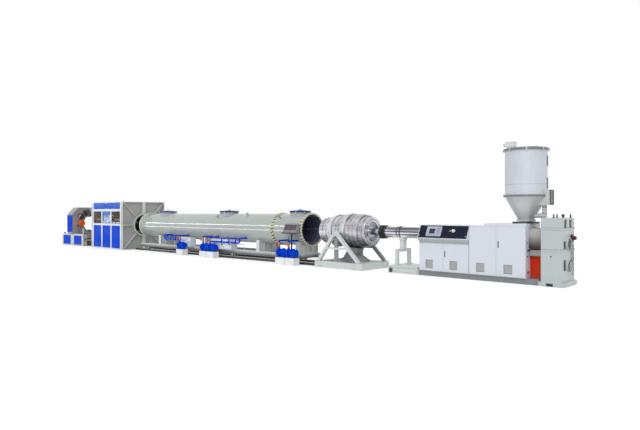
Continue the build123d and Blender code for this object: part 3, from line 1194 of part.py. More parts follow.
def make_saw(face):
    """The turning ring in front of the carriage, with its saw unit and motor."""
    start = face + RUNNING_GAP
    end = start + SAW_RING_LENGTH
    sleeve = face - SAW_SLEEVE_LENGTH
    write("saw_ring", turned((
        (sleeve, SAW_RING_BORE), (end, SAW_RING_BORE), (end, SAW_RING_RADIUS), (start, SAW_RING_RADIUS),
        (start, CARRIAGE_BORE - SEAT), (sleeve, CARRIAGE_BORE - SEAT))))

    up = 90.0
    slide_x = (end, end + SAW_CARRIAGE)
    slide = block(slide_x, span(0, SAW_WIDTH), (AXIS_Z + SAW_INNER, AXIS_Z + SAW_RING_RADIUS))
    housing_x = (slide_x[1], slide_x[1] + SAW_DEPTH)
    nose_z = AXIS_Z + SAW_NOSE_CENTRE
    housing = block(housing_x, span(0, SAW_WIDTH), (nose_z, AXIS_Z + SAW_OUTER))
    housing += rod_x(housing_x, SAW_WIDTH / 2, 0, nose_z)
    write("saw_unit", about_line(slide + housing, SAW_ANGLE - up))
    motor_y = SAW_MOTOR_PLACE * cos(radians(SAW_MOTOR_ANGLE))
    motor_z = AXIS_Z + SAW_MOTOR_PLACE * sin(radians(SAW_MOTOR_ANGLE))
    write("saw_motor", rod_x((end, end + SAW_MOTOR_LENGTH), SAW_MOTOR_RADIUS, motor_y, motor_z))


os.makedirs("parts", exist_ok=True)
make_tank()
make_tank_frame()
make_pumps()
make_console()
make_die()
make_die_stand()
make_barrel()
make_base()
make_cabinets()
make_desk()
make_drive()
make_gearbox()
make_hopper()
make_haul_off()
make_cutter_base()
make_carriage()
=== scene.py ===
# %% [markdown]
# # Dressing a jacket pipe line
# Jacket pipe is the wide plastic pipe round insulated heating mains. The machines that make it stand in one
# row: an extruder melts granules, a die head shapes the pipe, a long tank cools it, a haul-off pulls it and
# a saw cuts it. The solids come from a CAD model. This lesson adds what the solids leave out: finishes,
# fasteners and trim.

# %% Load the frame
import json
import math
from itertools import product

import bmesh
import bpy
from mathutils import Matrix, Vector


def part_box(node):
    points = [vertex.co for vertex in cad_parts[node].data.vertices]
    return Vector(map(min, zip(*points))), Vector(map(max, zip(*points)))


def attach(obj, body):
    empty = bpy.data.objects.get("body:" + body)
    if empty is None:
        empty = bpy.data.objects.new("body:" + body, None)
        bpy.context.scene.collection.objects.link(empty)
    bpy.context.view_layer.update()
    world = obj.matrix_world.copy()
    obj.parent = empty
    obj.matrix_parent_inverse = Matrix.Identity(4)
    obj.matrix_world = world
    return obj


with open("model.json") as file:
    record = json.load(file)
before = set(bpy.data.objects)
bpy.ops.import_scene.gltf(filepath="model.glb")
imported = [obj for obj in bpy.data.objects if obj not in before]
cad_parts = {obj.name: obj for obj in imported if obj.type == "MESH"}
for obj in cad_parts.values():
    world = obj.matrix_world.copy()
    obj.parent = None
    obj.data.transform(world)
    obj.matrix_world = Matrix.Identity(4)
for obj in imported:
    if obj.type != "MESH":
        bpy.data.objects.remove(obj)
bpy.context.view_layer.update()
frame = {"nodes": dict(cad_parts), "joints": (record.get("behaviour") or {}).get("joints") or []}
nodes = frame["nodes"]
joint_at = {joint["name"]: joint["pos_m"] for joint in frame["joints"]}
axis_z = joint_at["saw_ring_turn"][2]

# %% [markdown]
# ## The camera
# The view was worked out from the photograph's own straight edges, so the lens and the place are plain
# numbers. A level camera keeps upright edges upright, and a small shift puts the horizon where the
# photograph has it.

# %% Camera
photo_width, photo_height = 640, 430
focal_pixels, horizon_row = 536.55, 212.818
eye, heading = (20.109, -15.627, 2.03), math.radians(42.274)

scene = bpy.context.scene
lens = bpy.data.cameras.new("photo_camera")
lens.sensor_width = 36.0
lens.lens = focal_pixels * lens.sensor_width / photo_width
lens.shift_y = (horizon_row - photo_height / 2) / photo_width
lens.clip_end = 500.0
camera = bpy.data.objects.new("photo_camera", lens)
camera.location = eye
camera.rotation_euler = (math.pi / 2, 0.0, heading)
scene.collection.objects.link(camera)
scene.camera = camera
print("lens", round(lens.lens, 2), "mm")

# %% [markdown]
# ## Shader sums in Python
# A material is a net of nodes, and a long formula becomes a long list of links. A small class that stands
# for one socket lets the formula be written as Python: each operator adds one Math node. Every other node
# comes from one method, which sets the node's settings first and then gives each socket a value or a link.

# %% A socket that can be reckoned with
class Shade:
    """An output socket in a finish's node tree."""

    def __init__(self, tree, socket=None):
        self.tree, self.socket = tree, socket

    def node(self, kind, settings=None, values=None, out=0):
        made = self.tree.nodes.new("ShaderNode" + kind)
        for key, value in (settings or {}).items():
            setattr(made, key, value)
        for key, value in (values or {}).items():
            if isinstance(value, Shade):
                self.tree.links.new(value.socket, made.inputs[key])
            else:
                made.inputs[key].default_value = value
        return Shade(self.tree, made.outputs[out] if made.outputs else None)

    def sum(self, operation, *values):
        return self.node("Math", {"operation": operation}, dict(enumerate(values)))

    def __add__(self, other):
        return self.sum("ADD", self, other)

    __radd__ = __add__

    def __sub__(self, other):
        return self.sum("SUBTRACT", self, other)

    def __rsub__(self, other):
        return self.sum("SUBTRACT", other, self)

    def __mul__(self, other):
        return self.sum("MULTIPLY", self, other)

    __rmul__ = __mul__

    def __gt__(self, other):
        return self.sum("GREATER_THAN", self, other)

    def __lt__(self, other):
        return self.sum("LESS_THAN", self, other)

    def near(self, place, half):
        """1 within a half width of a place, otherwise 0."""
        return self.sum("COMPARE", self, place, half)

    def fade(self, low, high):
        """0 at low, 1 at high and a smooth step between them."""
        ends = {"Value": self, "From Min": low, "From Max": high}
        return self.node("MapRange", {"interpolation_type": "SMOOTHSTEP"}, ends)

    def mix(self, first, second):
        """A colour between two others, with this value as the second one's share."""
        return self.node("Mix", {"data_type": "RGBA"}, {0: self, 6: first, 7: second}, out=2)


print("shader sums ready")

# %% [markdown]
# ## Studio
# The photograph is a cut-out on white. A white world gives that ground, and Light Path lets it be white to
# the eye and in reflections while it lights the object more gently. One soft sun gives the shapes a light
# and a dark side, and two long narrow lamps draw the bright lines that run along the round tank.

# %% World, lamps and floor
scene.view_settings.view_transform = "Standard"
sky_level, sun_level, sun_spread = 0.58, 1.12, 50.0
sun_from = Vector((0.35, -0.75, 0.75))
white = (1.0, 1.0, 1.0, 1.0)


def blank(made):
    """The empty node tree of a new material or world."""
    made.use_nodes = True
    made.node_tree.nodes.clear()
    return Shade(made.node_tree)


def start(name):
    """A new finish, its node tree and its coordinates in metres."""
    made = bpy.data.materials.new(name)
    shade = blank(made)
    return made, shade, shade.node("TexCoord", out="Object")


def looked_at(shade):
    """1 for rays from the eye, off a glossy surface or through glass."""
    kinds = ("Is Camera Ray", "Is Glossy Ray", "Is Transmission Ray")
    return sum(shade.node("LightPath", out=kind) for kind in kinds)


world = bpy.data.worlds.new("studio")
scene.world = world
sky = blank(world)
seen = looked_at(sky)
seen = seen.sum("MINIMUM", seen, 1.0)
lit = sky.node("Background", {}, {"Color": white, "Strength": sky_level})
shown = sky.node("Background", {}, {"Color": white, "Strength": 1.0})
sky.node("OutputWorld", {}, {"Surface": sky.node("MixShader", {}, {0: seen, 1: lit, 2: shown})})


def lamp(name, kind, level, place, towards, **settings):
    """A lamp that isn't seen itself, at a place and turned towards another one."""
    data = bpy.data.lights.new(name, kind)
    data.energy = level
    for key, value in settings.items():
        setattr(data, key, value)
    made = bpy.data.objects.new(name, data)
    made.location = place
    made.rotation_euler = (Vector(towards) - Vector(place)).to_track_quat("-Z", "Y").to_euler()
    made.visible_camera = False
    scene.collection.objects.link(made)
    return made


lamp("sun", "SUN", sun_level, sun_from, (0, 0, 0), angle=math.radians(sun_spread))
strip_length, strip_width, strip_reach = 21.0, 0.22, 3.6
strip_middle = Vector((-7.5, 0, axis_z))
for number, (rise, strip_level) in enumerate(((22.0, 205.0), (-9.0, 140.0))):
    offset = Vector((0, -math.cos(math.radians(rise)), math.sin(math.radians(rise)))) * strip_reach
    strip = lamp(f"strip_{number}", "AREA", strip_level, strip_middle + offset, strip_middle,
                 shape="RECTANGLE", size=strip_length, size_y=strip_width)
    strip.visible_diffuse = False

floor_size, floor_glow = 400.0, 0.28
bpy.ops.mesh.primitive_plane_add(size=floor_size)
floor = bpy.context.object
floor.name = "studio_floor"
paper, ground, spot = start("floor_paper")
grain = ground.node("TexNoise", {}, {"Vector": spot, "Scale": 0.4})
pale = grain.mix((0.95, 0.95, 0.95, 1.0), (0.97, 0.97, 0.97, 1.0))
sheet = ground.node("BsdfDiffuse", {}, {"Color": pale})
glow = ground.node("Emission", {}, {"Color": white, "Strength": looked_at(ground) * floor_glow})
ground.node("OutputMaterial", {}, {"Surface": ground.node("AddShader", {}, {0: sheet, 1: glow})})
floor.data.materials.append(paper)
print("studio ready")

# %% [markdown]
# ## One recipe for painted steel
# Machine paint is never one flat colour. Spraying leaves a fine orange peel, big panels drift a little in
# shade, the foot of a machine gathers dust from the floor, and paint wears thin on edges. The recipe makes
# each of these from object coordinates, which run in metres through the whole line, and rounds sharp edges
# with a Bevel node.

# %% Recipe for paint
def parts_of(spot):
    """The three coordinates as numbers."""
    return [spot.node("SeparateXYZ", {}, {0: spot}, out=axis) for axis in range(3)]


def cloud(spot, scale, detail=3.0, stretch=(1.0, 1.0, 1.0)):
    """Noise about 0.5, drawn out along an axis by a small stretch value."""
    drawn = spot.node("Mapping", {}, {"Vector": spot, "Scale": stretch})
    return spot.node("TexNoise", {}, {"Vector": drawn, "Scale": scale, "Detail": detail})


def close(made, shade, colour, rough, height=None, depth=0.0004, edge=0.004, more=None):
    """The last nodes of a finish: rounded edges, bump and the Principled shader."""
    normal = shade.node("Bevel", {"samples": 4}, {"Radius": edge})
    if height is not None:
        relief = {"Strength": 0.5, "Distance": depth, "Height": height, "Normal": normal}
        normal = shade.node("Bump", {}, relief)
    values = {"Base Color": colour, "Roughness": rough, "Normal": normal, **(more or {})}
    skin = shade.node("BsdfPrincipled", {}, values)
    shade.node("OutputMaterial", {}, {"Surface": skin})
    return made


def worn(shade, edge=0.006):
    """1 on sharp edges, 0 on flat faces."""
    rounded = shade.node("Bevel", {"samples": 4}, {"Radius": edge})
    flat = shade.node("NewGeometry", out="True Normal")
    turn = shade.node("VectorMath", {"operation": "DOT_PRODUCT"}, {0: rounded, 1: flat}, out="Value")
    return (1.0 - turn).fade(0.02, 0.3)


def rgb(red, green, blue):
    """Screen values from 0 to 255 as the linear colour that a socket takes."""
    return tuple((channel / 255) ** 2.2 for channel in (red, green, blue)) + (1.0,)


def tint(colour, level):
    return tuple(min(1.0, channel * level) for channel in colour[:3]) + (1.0,)


dust, dust_height, dirt, orange_peel = rgb(150, 146, 138), 0.55, 0.2, 0.00025


def painted(name, colour, rough=0.35, other=None, where=None, drift=0.07, wear=0.25, shine=0.4):
    """Sprayed paint. A second colour goes where a sum of the three coordinates gives 1."""
    made, shade, spot = start(name)
    places, patch, colour = parts_of(spot), cloud(spot, 1.7), rgb(*colour)
    skin = patch.mix(tint(colour, 1 - drift), tint(colour, 1 + drift))
    if other:
        other = rgb(*other)
        skin = where(*places).mix(skin, patch.mix(tint(other, 1 - drift), tint(other, 1 + drift)))
    foot = (1.0 - places[2].fade(0.0, dust_height)) * cloud(spot, 6.0, 5.0).fade(0.3, 0.75) * dirt
    rubbed = worn(shade) * cloud(spot, 22.0).fade(0.35, 0.6) * wear
    skin = rubbed.mix(foot.mix(skin, dust), tint(colour, 1.6))
    gloss = cloud(spot, 9.0) * 0.12 + (rough - 0.06)
    peel, glint = cloud(spot, 260.0, 2.0), {"Specular IOR Level": shine}
    return close(made, shade, skin, gloss, peel, orange_peel, more=glint)


print("recipe ready")

# %% [markdown]
# ## The paints
# Most paints are one colour. Some solids carry two, such as a pump in blue on a white skid, and there a sum
# of the coordinates says where the second one goes. On the tank frame, the die stand's cradle, the far
# trestle, the thrust housing, the cutter beams and the carriage the darker colour is painted shade. The blues
# shine little, or the white studio would wash them out.

# %% Paints
white_coat, stand_coat, blue_coat = (220, 226, 236), (214, 220, 220), (6, 74, 214)
white_paint = painted("white_enamel", white_coat, 0.32, drift=0.02)
blue_paint = painted("blue_enamel", blue_coat, 0.30, shine=0.015, wear=0.1)
header_paint = painted("header_enamel", (36, 92, 206), 0.26, shine=0.03, drift=0.22, wear=0.1)
cover_paint = painted("cover_enamel", (12, 60, 142), 0.30, shine=0.03)
grey_paint = painted("grey_enamel", (150, 156, 158), 0.38)
stand_paint = painted("stand_enamel", stand_coat, 0.36, drift=0.02)
# painted shade: the lower part of the tank frame is dark grey
frame_paint_with_shade = painted(
    "frame_enamel_painted_shade", (204, 210, 208), 0.36, (72, 76, 78), lambda x, y, z: 1.0 - z.fade(0.22, 0.43), drift=0.03)
# painted shade: the die stand's cradle, above its base frame, is darker
cradle_paint_shaded = painted(
    "cradle_enamel_painted_shade", stand_coat, 0.36, (142, 149, 147), lambda x, y, z: z > 0.245, drift=0.02)
# painted shade: the far trestle is darker than the near one
trestle_paint_far_shade = painted(
    "trestle_enamel_painted_shade", stand_coat, 0.36, (150, 157, 155), lambda x, y, z: y > -0.6, drift=0.02)
gearbox_paint = painted("gearbox_enamel", (192, 202, 202), 0.34, drift=0.03)
loader_paint = painted("loader_enamel", (222, 225, 225), 0.36)
blower_paint = painted("blower_enamel", (196, 202, 202), 0.36)
dark_paint = painted("black_enamel", (40, 40, 43), 0.30, wear=0.5)
navy_paint = painted("navy_enamel", (16, 24, 46), 0.34, shine=0.2)
red_paint = painted("red_enamel", (206, 52, 18), 0.30, shine=0.15)
orange_paint = painted("orange_enamel", (236, 92, 14), 0.30, shine=0.15)
oil_pump_paint = painted("oxide_enamel", (82, 42, 40), 0.34)
jack_paint = painted("jack_enamel", (128, 58, 44), 0.4)
base_paint = painted("base_enamel", (132, 138, 142), 0.42, (216, 222, 219), lambda x, y, z: x < 10.7)
pump_paint = painted("pump_enamel", blue_coat, 0.30, (248, 250, 249), lambda x, y, z: z < 0.281, shine=0.02)
end_paint = painted(
    "end_enamel", (176, 179, 176), 0.38, (222, 222, 216), lambda x, y, z: (x > -7.436) + (x < -11.127))
# painted shade: the thrust housing in the gap behind the cabinet is dark brown below and grey at the top
thrust_shade_paint = painted("thrust_enamel_painted_shade", (58, 32, 26), 0.36, (184, 184, 180), lambda x, y, z: z.fade(1.0, 1.5))
cabinet_paint = painted(
    "cabinet_enamel", white_coat, 0.32, (184, 192, 189),
    lambda x, y, z: (z > 1.07) * (z < 1.208) * (y < -0.541), drift=0.02)
rail_paint = painted("rail_enamel", (56, 57, 60), 0.40)
# painted shade: the cutter beams' inner faces are dark brown, their outer faces grey
beam_paint_inner_shade = painted("beam_enamel_painted_shade", (196, 199, 200), 0.36, (92, 86, 80), lambda x, y, z: y.near(0.0, 0.975))
# painted shade: the carriage is dark brown below and grey above
carriage_paint_lower_shade = painted(
    "carriage_enamel_painted_shade", (158, 153, 152), 0.36, (74, 66, 60), lambda x, y, z: 1.0 - z.fade(0.62, 0.80))
# painted shade: dark brown for the cutter's cross members, ties and clamp jaws in its shaded recess
cutter_shade_brown = painted("brown_enamel_painted_shade", (84, 76, 70), 0.44)
console_paint = painted("console_enamel", (146, 146, 150), 0.40, shine=0.2)
vent_paint = painted("vent_enamel", (176, 171, 160), 0.45)
print("painted finishes ready")

# %% [markdown]
# ## Tank and its rings
# The tank is rolled from plate, so a fine weld runs round it at each course and one along it. Outside it is
# sprayed a satin grey, with painted shade on its lower half, deeper towards the far end. Inside it is dark
# blue-grey with faint rings. The ring at its mouth and the one at the telescopic joint carry a hazard band.
# Angle and radius about the pass line come from Arctan2 and a square root.

# %% Tank finishes
def polar(spot):
    """Place along the line, distance from the pass line, angle about it and height over it."""
    along, across, height = parts_of(spot)
    rise = height - axis_z
    square = across * across + rise * rise
    return along, square.sum("SQRT", square), rise.sum("ARCTAN2", rise, across), rise


tank_inner, tank_courses = 0.634, (4.62, 2.2, 0.62, -1.75, -3.4, -5.6)
made, shade, spot = start("tank_enamel")
along, reach, angle, rise = polar(spot)
seams = sum((along.near(place, 0.007) for place in tank_courses), angle.near(-1.2, 0.008))
panel = cloud(spot, 0.9).mix(rgb(224, 226, 224), rgb(242, 243, 241))
streak = cloud(spot, 3.0, 4.0, (2.0, 0.25, 0.25)).fade(0.5, 0.8) * 0.16
# painted shade: the tank's lower half takes a darker tone, darkest towards the far end
shaded_underside = along.fade(-5.0, 2.5).mix(rgb(160, 170, 167), rgb(198, 206, 203))
sides = rise.fade(-0.62, 0.05).mix(shaded_underside, rgb(194, 201, 198))
coat = shade.node("Mix", {"data_type": "RGBA", "blend_type": "MULTIPLY"}, {0: 1.0, 6: panel, 7: sides}, out=2)
aged = streak.mix(coat, rgb(142, 145, 140))
hoops = along * 5.0
inner_mottle = cloud(spot, 4.0) * 0.6 + (hoops.sum("FRACT", hoops) < 0.4) * 0.4
# inside the tank: dark blue-grey with a faint ring pattern
skin = (reach < tank_inner).mix(aged, inner_mottle.mix(rgb(66, 68, 88), rgb(112, 114, 138)))
fine = cloud(spot, 240.0, 2.0) * 0.25 + seams
tank_paint = close(made, shade, skin, cloud(spot, 7.0) * 0.05 + 0.07, fine, 0.0008)

hazard_start, hazard_end, dashes_round, ring_face = 3.0, 5.486, 30.0, 0.652
made, shade, spot = start("ring_enamel")
along, reach, angle, rise = polar(spot)
lean = angle * (dashes_round / math.tau) + along * 2.0
hazard = lean.sum("FRACT", lean).near(0.5, 0.18).mix(rgb(226, 219, 164), rgb(46, 44, 40))
creamy = cloud(spot, 3.0).mix(rgb(212, 208, 190), rgb(226, 222, 206))
striped = (along > hazard_start) * (along < hazard_end) * (reach > ring_face)
scuffs = cloud(spot, 18.0, 5.0).fade(0.55, 0.72) * 0.35
scuffed = scuffs.mix(striped.mix(creamy, hazard), rgb(196, 188, 166))
ring_paint = close(made, shade, scuffed, 0.34, cloud(spot, 260.0, 2.0), orange_peel)
print("tank finishes ready")

# %% [markdown]
# ## Steel in four states
# The die head is turned on a lathe, which leaves fine rings about its axis, and turned parts are darker
# below the pass line as painted shade. Hopper and barrel cover are brushed or polished stainless sheet, and
# the barrel cover's colour holds painted reflections in dark and bright bands. Heater bands run hot and take
# a straw tint. Rails, wheels and shafts are plain machined steel. Each is the same metal with another grain:
# noise drawn out along the way the tool moved.

# %% Steel finishes
def turned(name, low, high, rough, tinted=None):
    """Steel with tool rings about the pass line."""
    made, shade, spot = start(name)
    along, reach, angle, rise = polar(spot)
    rings = shade.node("CombineXYZ", {}, {0: along * 90.0, 1: reach * 90.0, 2: angle * 0.6})
    tool = shade.node("TexNoise", {}, {"Vector": rings, "Scale": 1.0, "Detail": 4.0})
    sheen = shade.node("CombineXYZ", {}, {0: along * 1.6, 1: reach * 3.0, 2: angle * 1.3})
    broad = shade.node("TexNoise", {}, {"Vector": sheen, "Scale": 1.0, "Detail": 2.0})
    colour = (tool * 0.45 + broad * 0.55).fade(0.3, 0.7).mix(low, high)
    if tinted:
        colour = (cloud(spot, 5.0, 4.0).fade(0.45, 0.75) * 0.5).mix(colour, tinted)
    # painted shade: below the pass line the steel is darkened
    colour = rise.fade(-0.62, -0.05).mix(tint(low, 0.42), colour)
    return close(made, shade, colour, tool * 0.2 + (rough - 0.1), tool, 0.0003, 0.003, {"Metallic": 1.0})


def middle_of(name):
    """The middle of a solid's box."""
    low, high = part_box(name)
    return (Vector(low) + Vector(high)) / 2


hopper_x, rim_low, rim_inner, rim_outer = middle_of("hopper_cone").x, 2.4, 0.60, 0.64
rim_grey = rgb(122, 127, 129)
even, upright, lengthwise = (1.0, 1.0, 1.0), (1.0, 1.0, 0.06), (0.08, 1.0, 1.0)


def drawn(name, low, high, rough, stretch, scale=30.0, metallic=1.0, rim=None):
    """Steel with a straight grain. A rim colour goes on what stands out round the hopper."""
    made, shade, spot = start(name)
    grain, broad = cloud(spot, scale, 5.0, stretch), cloud(spot, 1.3, 2.0)
    colour = (grain * 0.5 + broad * 0.5).fade(0.3, 0.7).mix(rgb(*low), rgb(*high))
    if rim:
        along, across, height = parts_of(spot)
        offset = along - hopper_x
        square = offset * offset + across * across
        outer = (square > rim_inner ** 2) * (square < rim_outer ** 2) * (height > rim_low)
        colour = outer.mix(colour, rim)
    gloss = grain * 0.22 + (rough - 0.11)
    return close(made, shade, colour, gloss, grain, 0.0002, 0.003, {"Metallic": metallic})


die_steel = turned("turned_steel", rgb(160, 161, 172), rgb(234, 234, 240), 0.24)
band_steel = turned("heater_band_steel", rgb(146, 145, 151), rgb(228, 226, 231), 0.28, rgb(172, 167, 168))
hopper_steel = drawn(
    "hopper_sheet", (200, 205, 214), (211, 216, 224), 0.40, upright, metallic=0.3, rim=rim_grey)
cone_steel = drawn("cone_sheet", (186, 189, 190), (200, 203, 204), 0.40, upright, metallic=0.4, rim=rim_grey)
plain_steel = drawn("machined_steel", (140, 142, 146), (188, 190, 194), 0.36, lengthwise)
zinc = drawn("zinc_plate", (172, 172, 168), (206, 206, 202), 0.30, even, 60.0)
dark_steel = drawn("blackened_steel", (52, 52, 54), (84, 84, 86), 0.42, even, 50.0)
brass = drawn("brass_fitting", (150, 112, 66), (196, 152, 96), 0.34, even, 40.0)

made, shade, spot = start("polished_cover")
along, reach, angle, rise = polar(spot)
# painted reflection: dark and bright bands round the cover stand for a reflected room
room = shade.node("CombineXYZ", {}, {0: along * 0.35, 1: 0.0, 2: angle * 1.9})
painted_reflection = shade.node("TexNoise", {}, {"Vector": room, "Scale": 1.0, "Detail": 1.0}).fade(0.38, 0.62)
reflection_bands = painted_reflection.mix(rgb(104, 106, 112), rgb(226, 227, 231))
brush = cloud(spot, 40.0, 4.0, (0.05, 1.0, 1.0))
barrel_steel = close(made, shade, reflection_bands, brush * 0.14 + 0.10, brush, 0.00015, more={"Metallic": 1.0})
print("steel finishes ready")

# %% [markdown]
# ## Rubber, glass and plastic
# The haul-off grips with rubber pads, dull and a little dusty on the grip. Its windows are safety glass: a
# low alpha lets the tracks show through, and the middle pane is more opaque, with a painted reflection of a
# blue and white sky in its colour. Switches and bezels are moulded plastic with a fine spark-eroded grain.

# %% Other finishes
made, shade, spot = start("pad_rubber")
chalk = cloud(spot, 14.0, 5.0).fade(0.45, 0.8) * 0.4
rubber = close(made, shade, chalk.mix(rgb(42, 41, 40), rgb(86, 82, 78)), 0.72, cloud(spot, 120.0), 0.0006)

pane_start, pane_end = -9.8, -8.75
made, shade, spot = start("safety_glass")
along = parts_of(spot)[0]
# painted reflection: the middle pane's colour is a blue and white sky, and it is less clear than the others
reflecting_pane = (along > pane_start) * (along < pane_end)
film = cloud(spot, 2.2, 3.0) * 0.12
painted_reflection = cloud(spot, 2.8, 3.0).fade(0.4, 0.6).mix(rgb(62, 120, 206), rgb(222, 236, 250))
glass = close(made, shade, reflecting_pane.mix(rgb(92, 72, 64), painted_reflection), film + 0.03, edge=0.001,
              more={"Alpha": reflecting_pane * 0.6 + 0.24})


def moulded(name, colour, rough=0.45, other=None, where=None):
    """Moulded plastic. A second colour goes where a sum of the three coordinates gives 1."""
    made, shade, spot = start(name)
    speck = cloud(spot, 420.0, 2.0)
    blotch = speck * 0.5 + cloud(spot, 12.0) * 0.5
    skin = blotch.mix(tint(rgb(*colour), 0.86), tint(rgb(*colour), 1.14))
    if other:
        skin = where(*parts_of(spot)).mix(skin, blotch.mix(tint(rgb(*other), 0.86), tint(rgb(*other), 1.14)))
    return close(made, shade, skin, cloud(spot, 30.0) * 0.1 + (rough - 0.05), speck, 0.0002, 0.002)


black_plastic = moulded("black_plastic", (36, 36, 38))
grey_plastic = moulded("grey_plastic", (186, 190, 194))
red_plastic = moulded("red_plastic", (206, 36, 30), 0.35)
key_plastic = moulded("key_plastic", (132, 146, 174))
control_plastic = moulded("control_plastic", (180, 190, 206), 0.4, (236, 222, 178), lambda x, y, z: x > 11.94)


def display(name, ground_colour, lit_colour, columns, rows, bar_share=0.62, row_share=0.45, dark_share=0.62):
    """A dark face with rows of lit cells along X and up the face."""
    made, shade, spot = start(name)
    along, across, height = parts_of(spot)
    column, row = along * columns, height * rows
    place = shade.node("CombineXYZ", {}, {0: column.sum("FLOOR", column), 1: row.sum("FLOOR", row), 2: 3.0})
    chance = shade.node("TexWhiteNoise", {"noise_dimensions": "3D"}, {"Vector": place})
    inside = (column.sum("FRACT", column) < bar_share) * (row.sum("FRACT", row) < row_share)
    cell = inside * (chance > dark_share)
    skin = cell.mix(cloud(spot, 6.0).mix(tint(ground_colour, 0.8), tint(ground_colour, 1.2)), lit_colour)
    return close(made, shade, skin, cloud(spot, 40.0) * 0.08 + 0.16, cloud(spot, 300.0), 0.0001, 0.001)


readings = display("console_readings", rgb(66, 61, 74), rgb(170, 112, 112), 34.0, 22.0)
desk_display = display("operator_display", rgb(16, 18, 26), rgb(58, 84, 120), 70.0, 44.0)
print("other finishes ready")

# %% [markdown]
# ## Finishes onto the solids
# The CAD record gives each solid a slot, which is its kind of finish. Most solids take their slot's finish.
# A few of one slot differ in the photograph, such as the heater bands among the stainless sheet, and are
# named one by one.

# %% Dress the solids
slot_finish = {
    "tank_shell": tank_paint, "ring_paint": ring_paint, "blue_paint": blue_paint, "white_paint": white_paint,
    "grey_paint": grey_paint, "stand_paint": stand_paint, "gearbox_paint": gearbox_paint,
    "dark_paint": dark_paint, "navy_plate": navy_paint, "red_paint": red_paint, "orange_paint": orange_paint,
    "oil_pump_paint": oil_pump_paint, "die_steel": die_steel, "stainless": hopper_steel,
    "bare_steel": plain_steel, "track_rubber": rubber, "window_glass": glass, "control_plastic": grey_plastic}
node_finish = {
    "die_heater_bands": band_steel, "barrel_cover": barrel_steel, "hopper_cone": cone_steel,
    "spray_pipes": cone_steel, "extruder_base": base_paint, "pumps": pump_paint,
    "manhole_covers": cover_paint, "haul_off_end_plates": end_paint, "thrust_housing": thrust_shade_paint,
    "control_cabinet": cabinet_paint, "cutter_carriage": carriage_paint_lower_shade, "desk_controls": control_plastic,
    "hopper_loader": loader_paint, "hopper_blower": blower_paint, "floor_rails": rail_paint,
    "tank_frame": frame_paint_with_shade, "die_stand_frame": cradle_paint_shaded, "die_trestles": trestle_paint_far_shade,
    "cutter_beams": beam_paint_inner_shade, "cutter_crosses": cutter_shade_brown, "cutter_ties": cutter_shade_brown,
    "console_box": console_paint}
for name, node in nodes.items():
    given = node.material_slots[0].material.name.split(".")[0]
    node.material_slots[0].material = node_finish.get(name, slot_finish[given])
print("dressed", len(nodes), "solids")

# %% [markdown]
# ## A bench for small parts
# Fasteners and trim come in hundreds, so making each an object of its own would fill the scene with names.
# A bench gathers simple shapes into one mesh instead: turned shapes, chamfered boxes and rigid pipes. The
# shapes could also come from modifiers, but plain faces export as they are, and their number is known.

# %% Bench
sink, corner_steps, weld_distance, sharp_angle = 0.003, 6, 0.00002, math.radians(38.0)


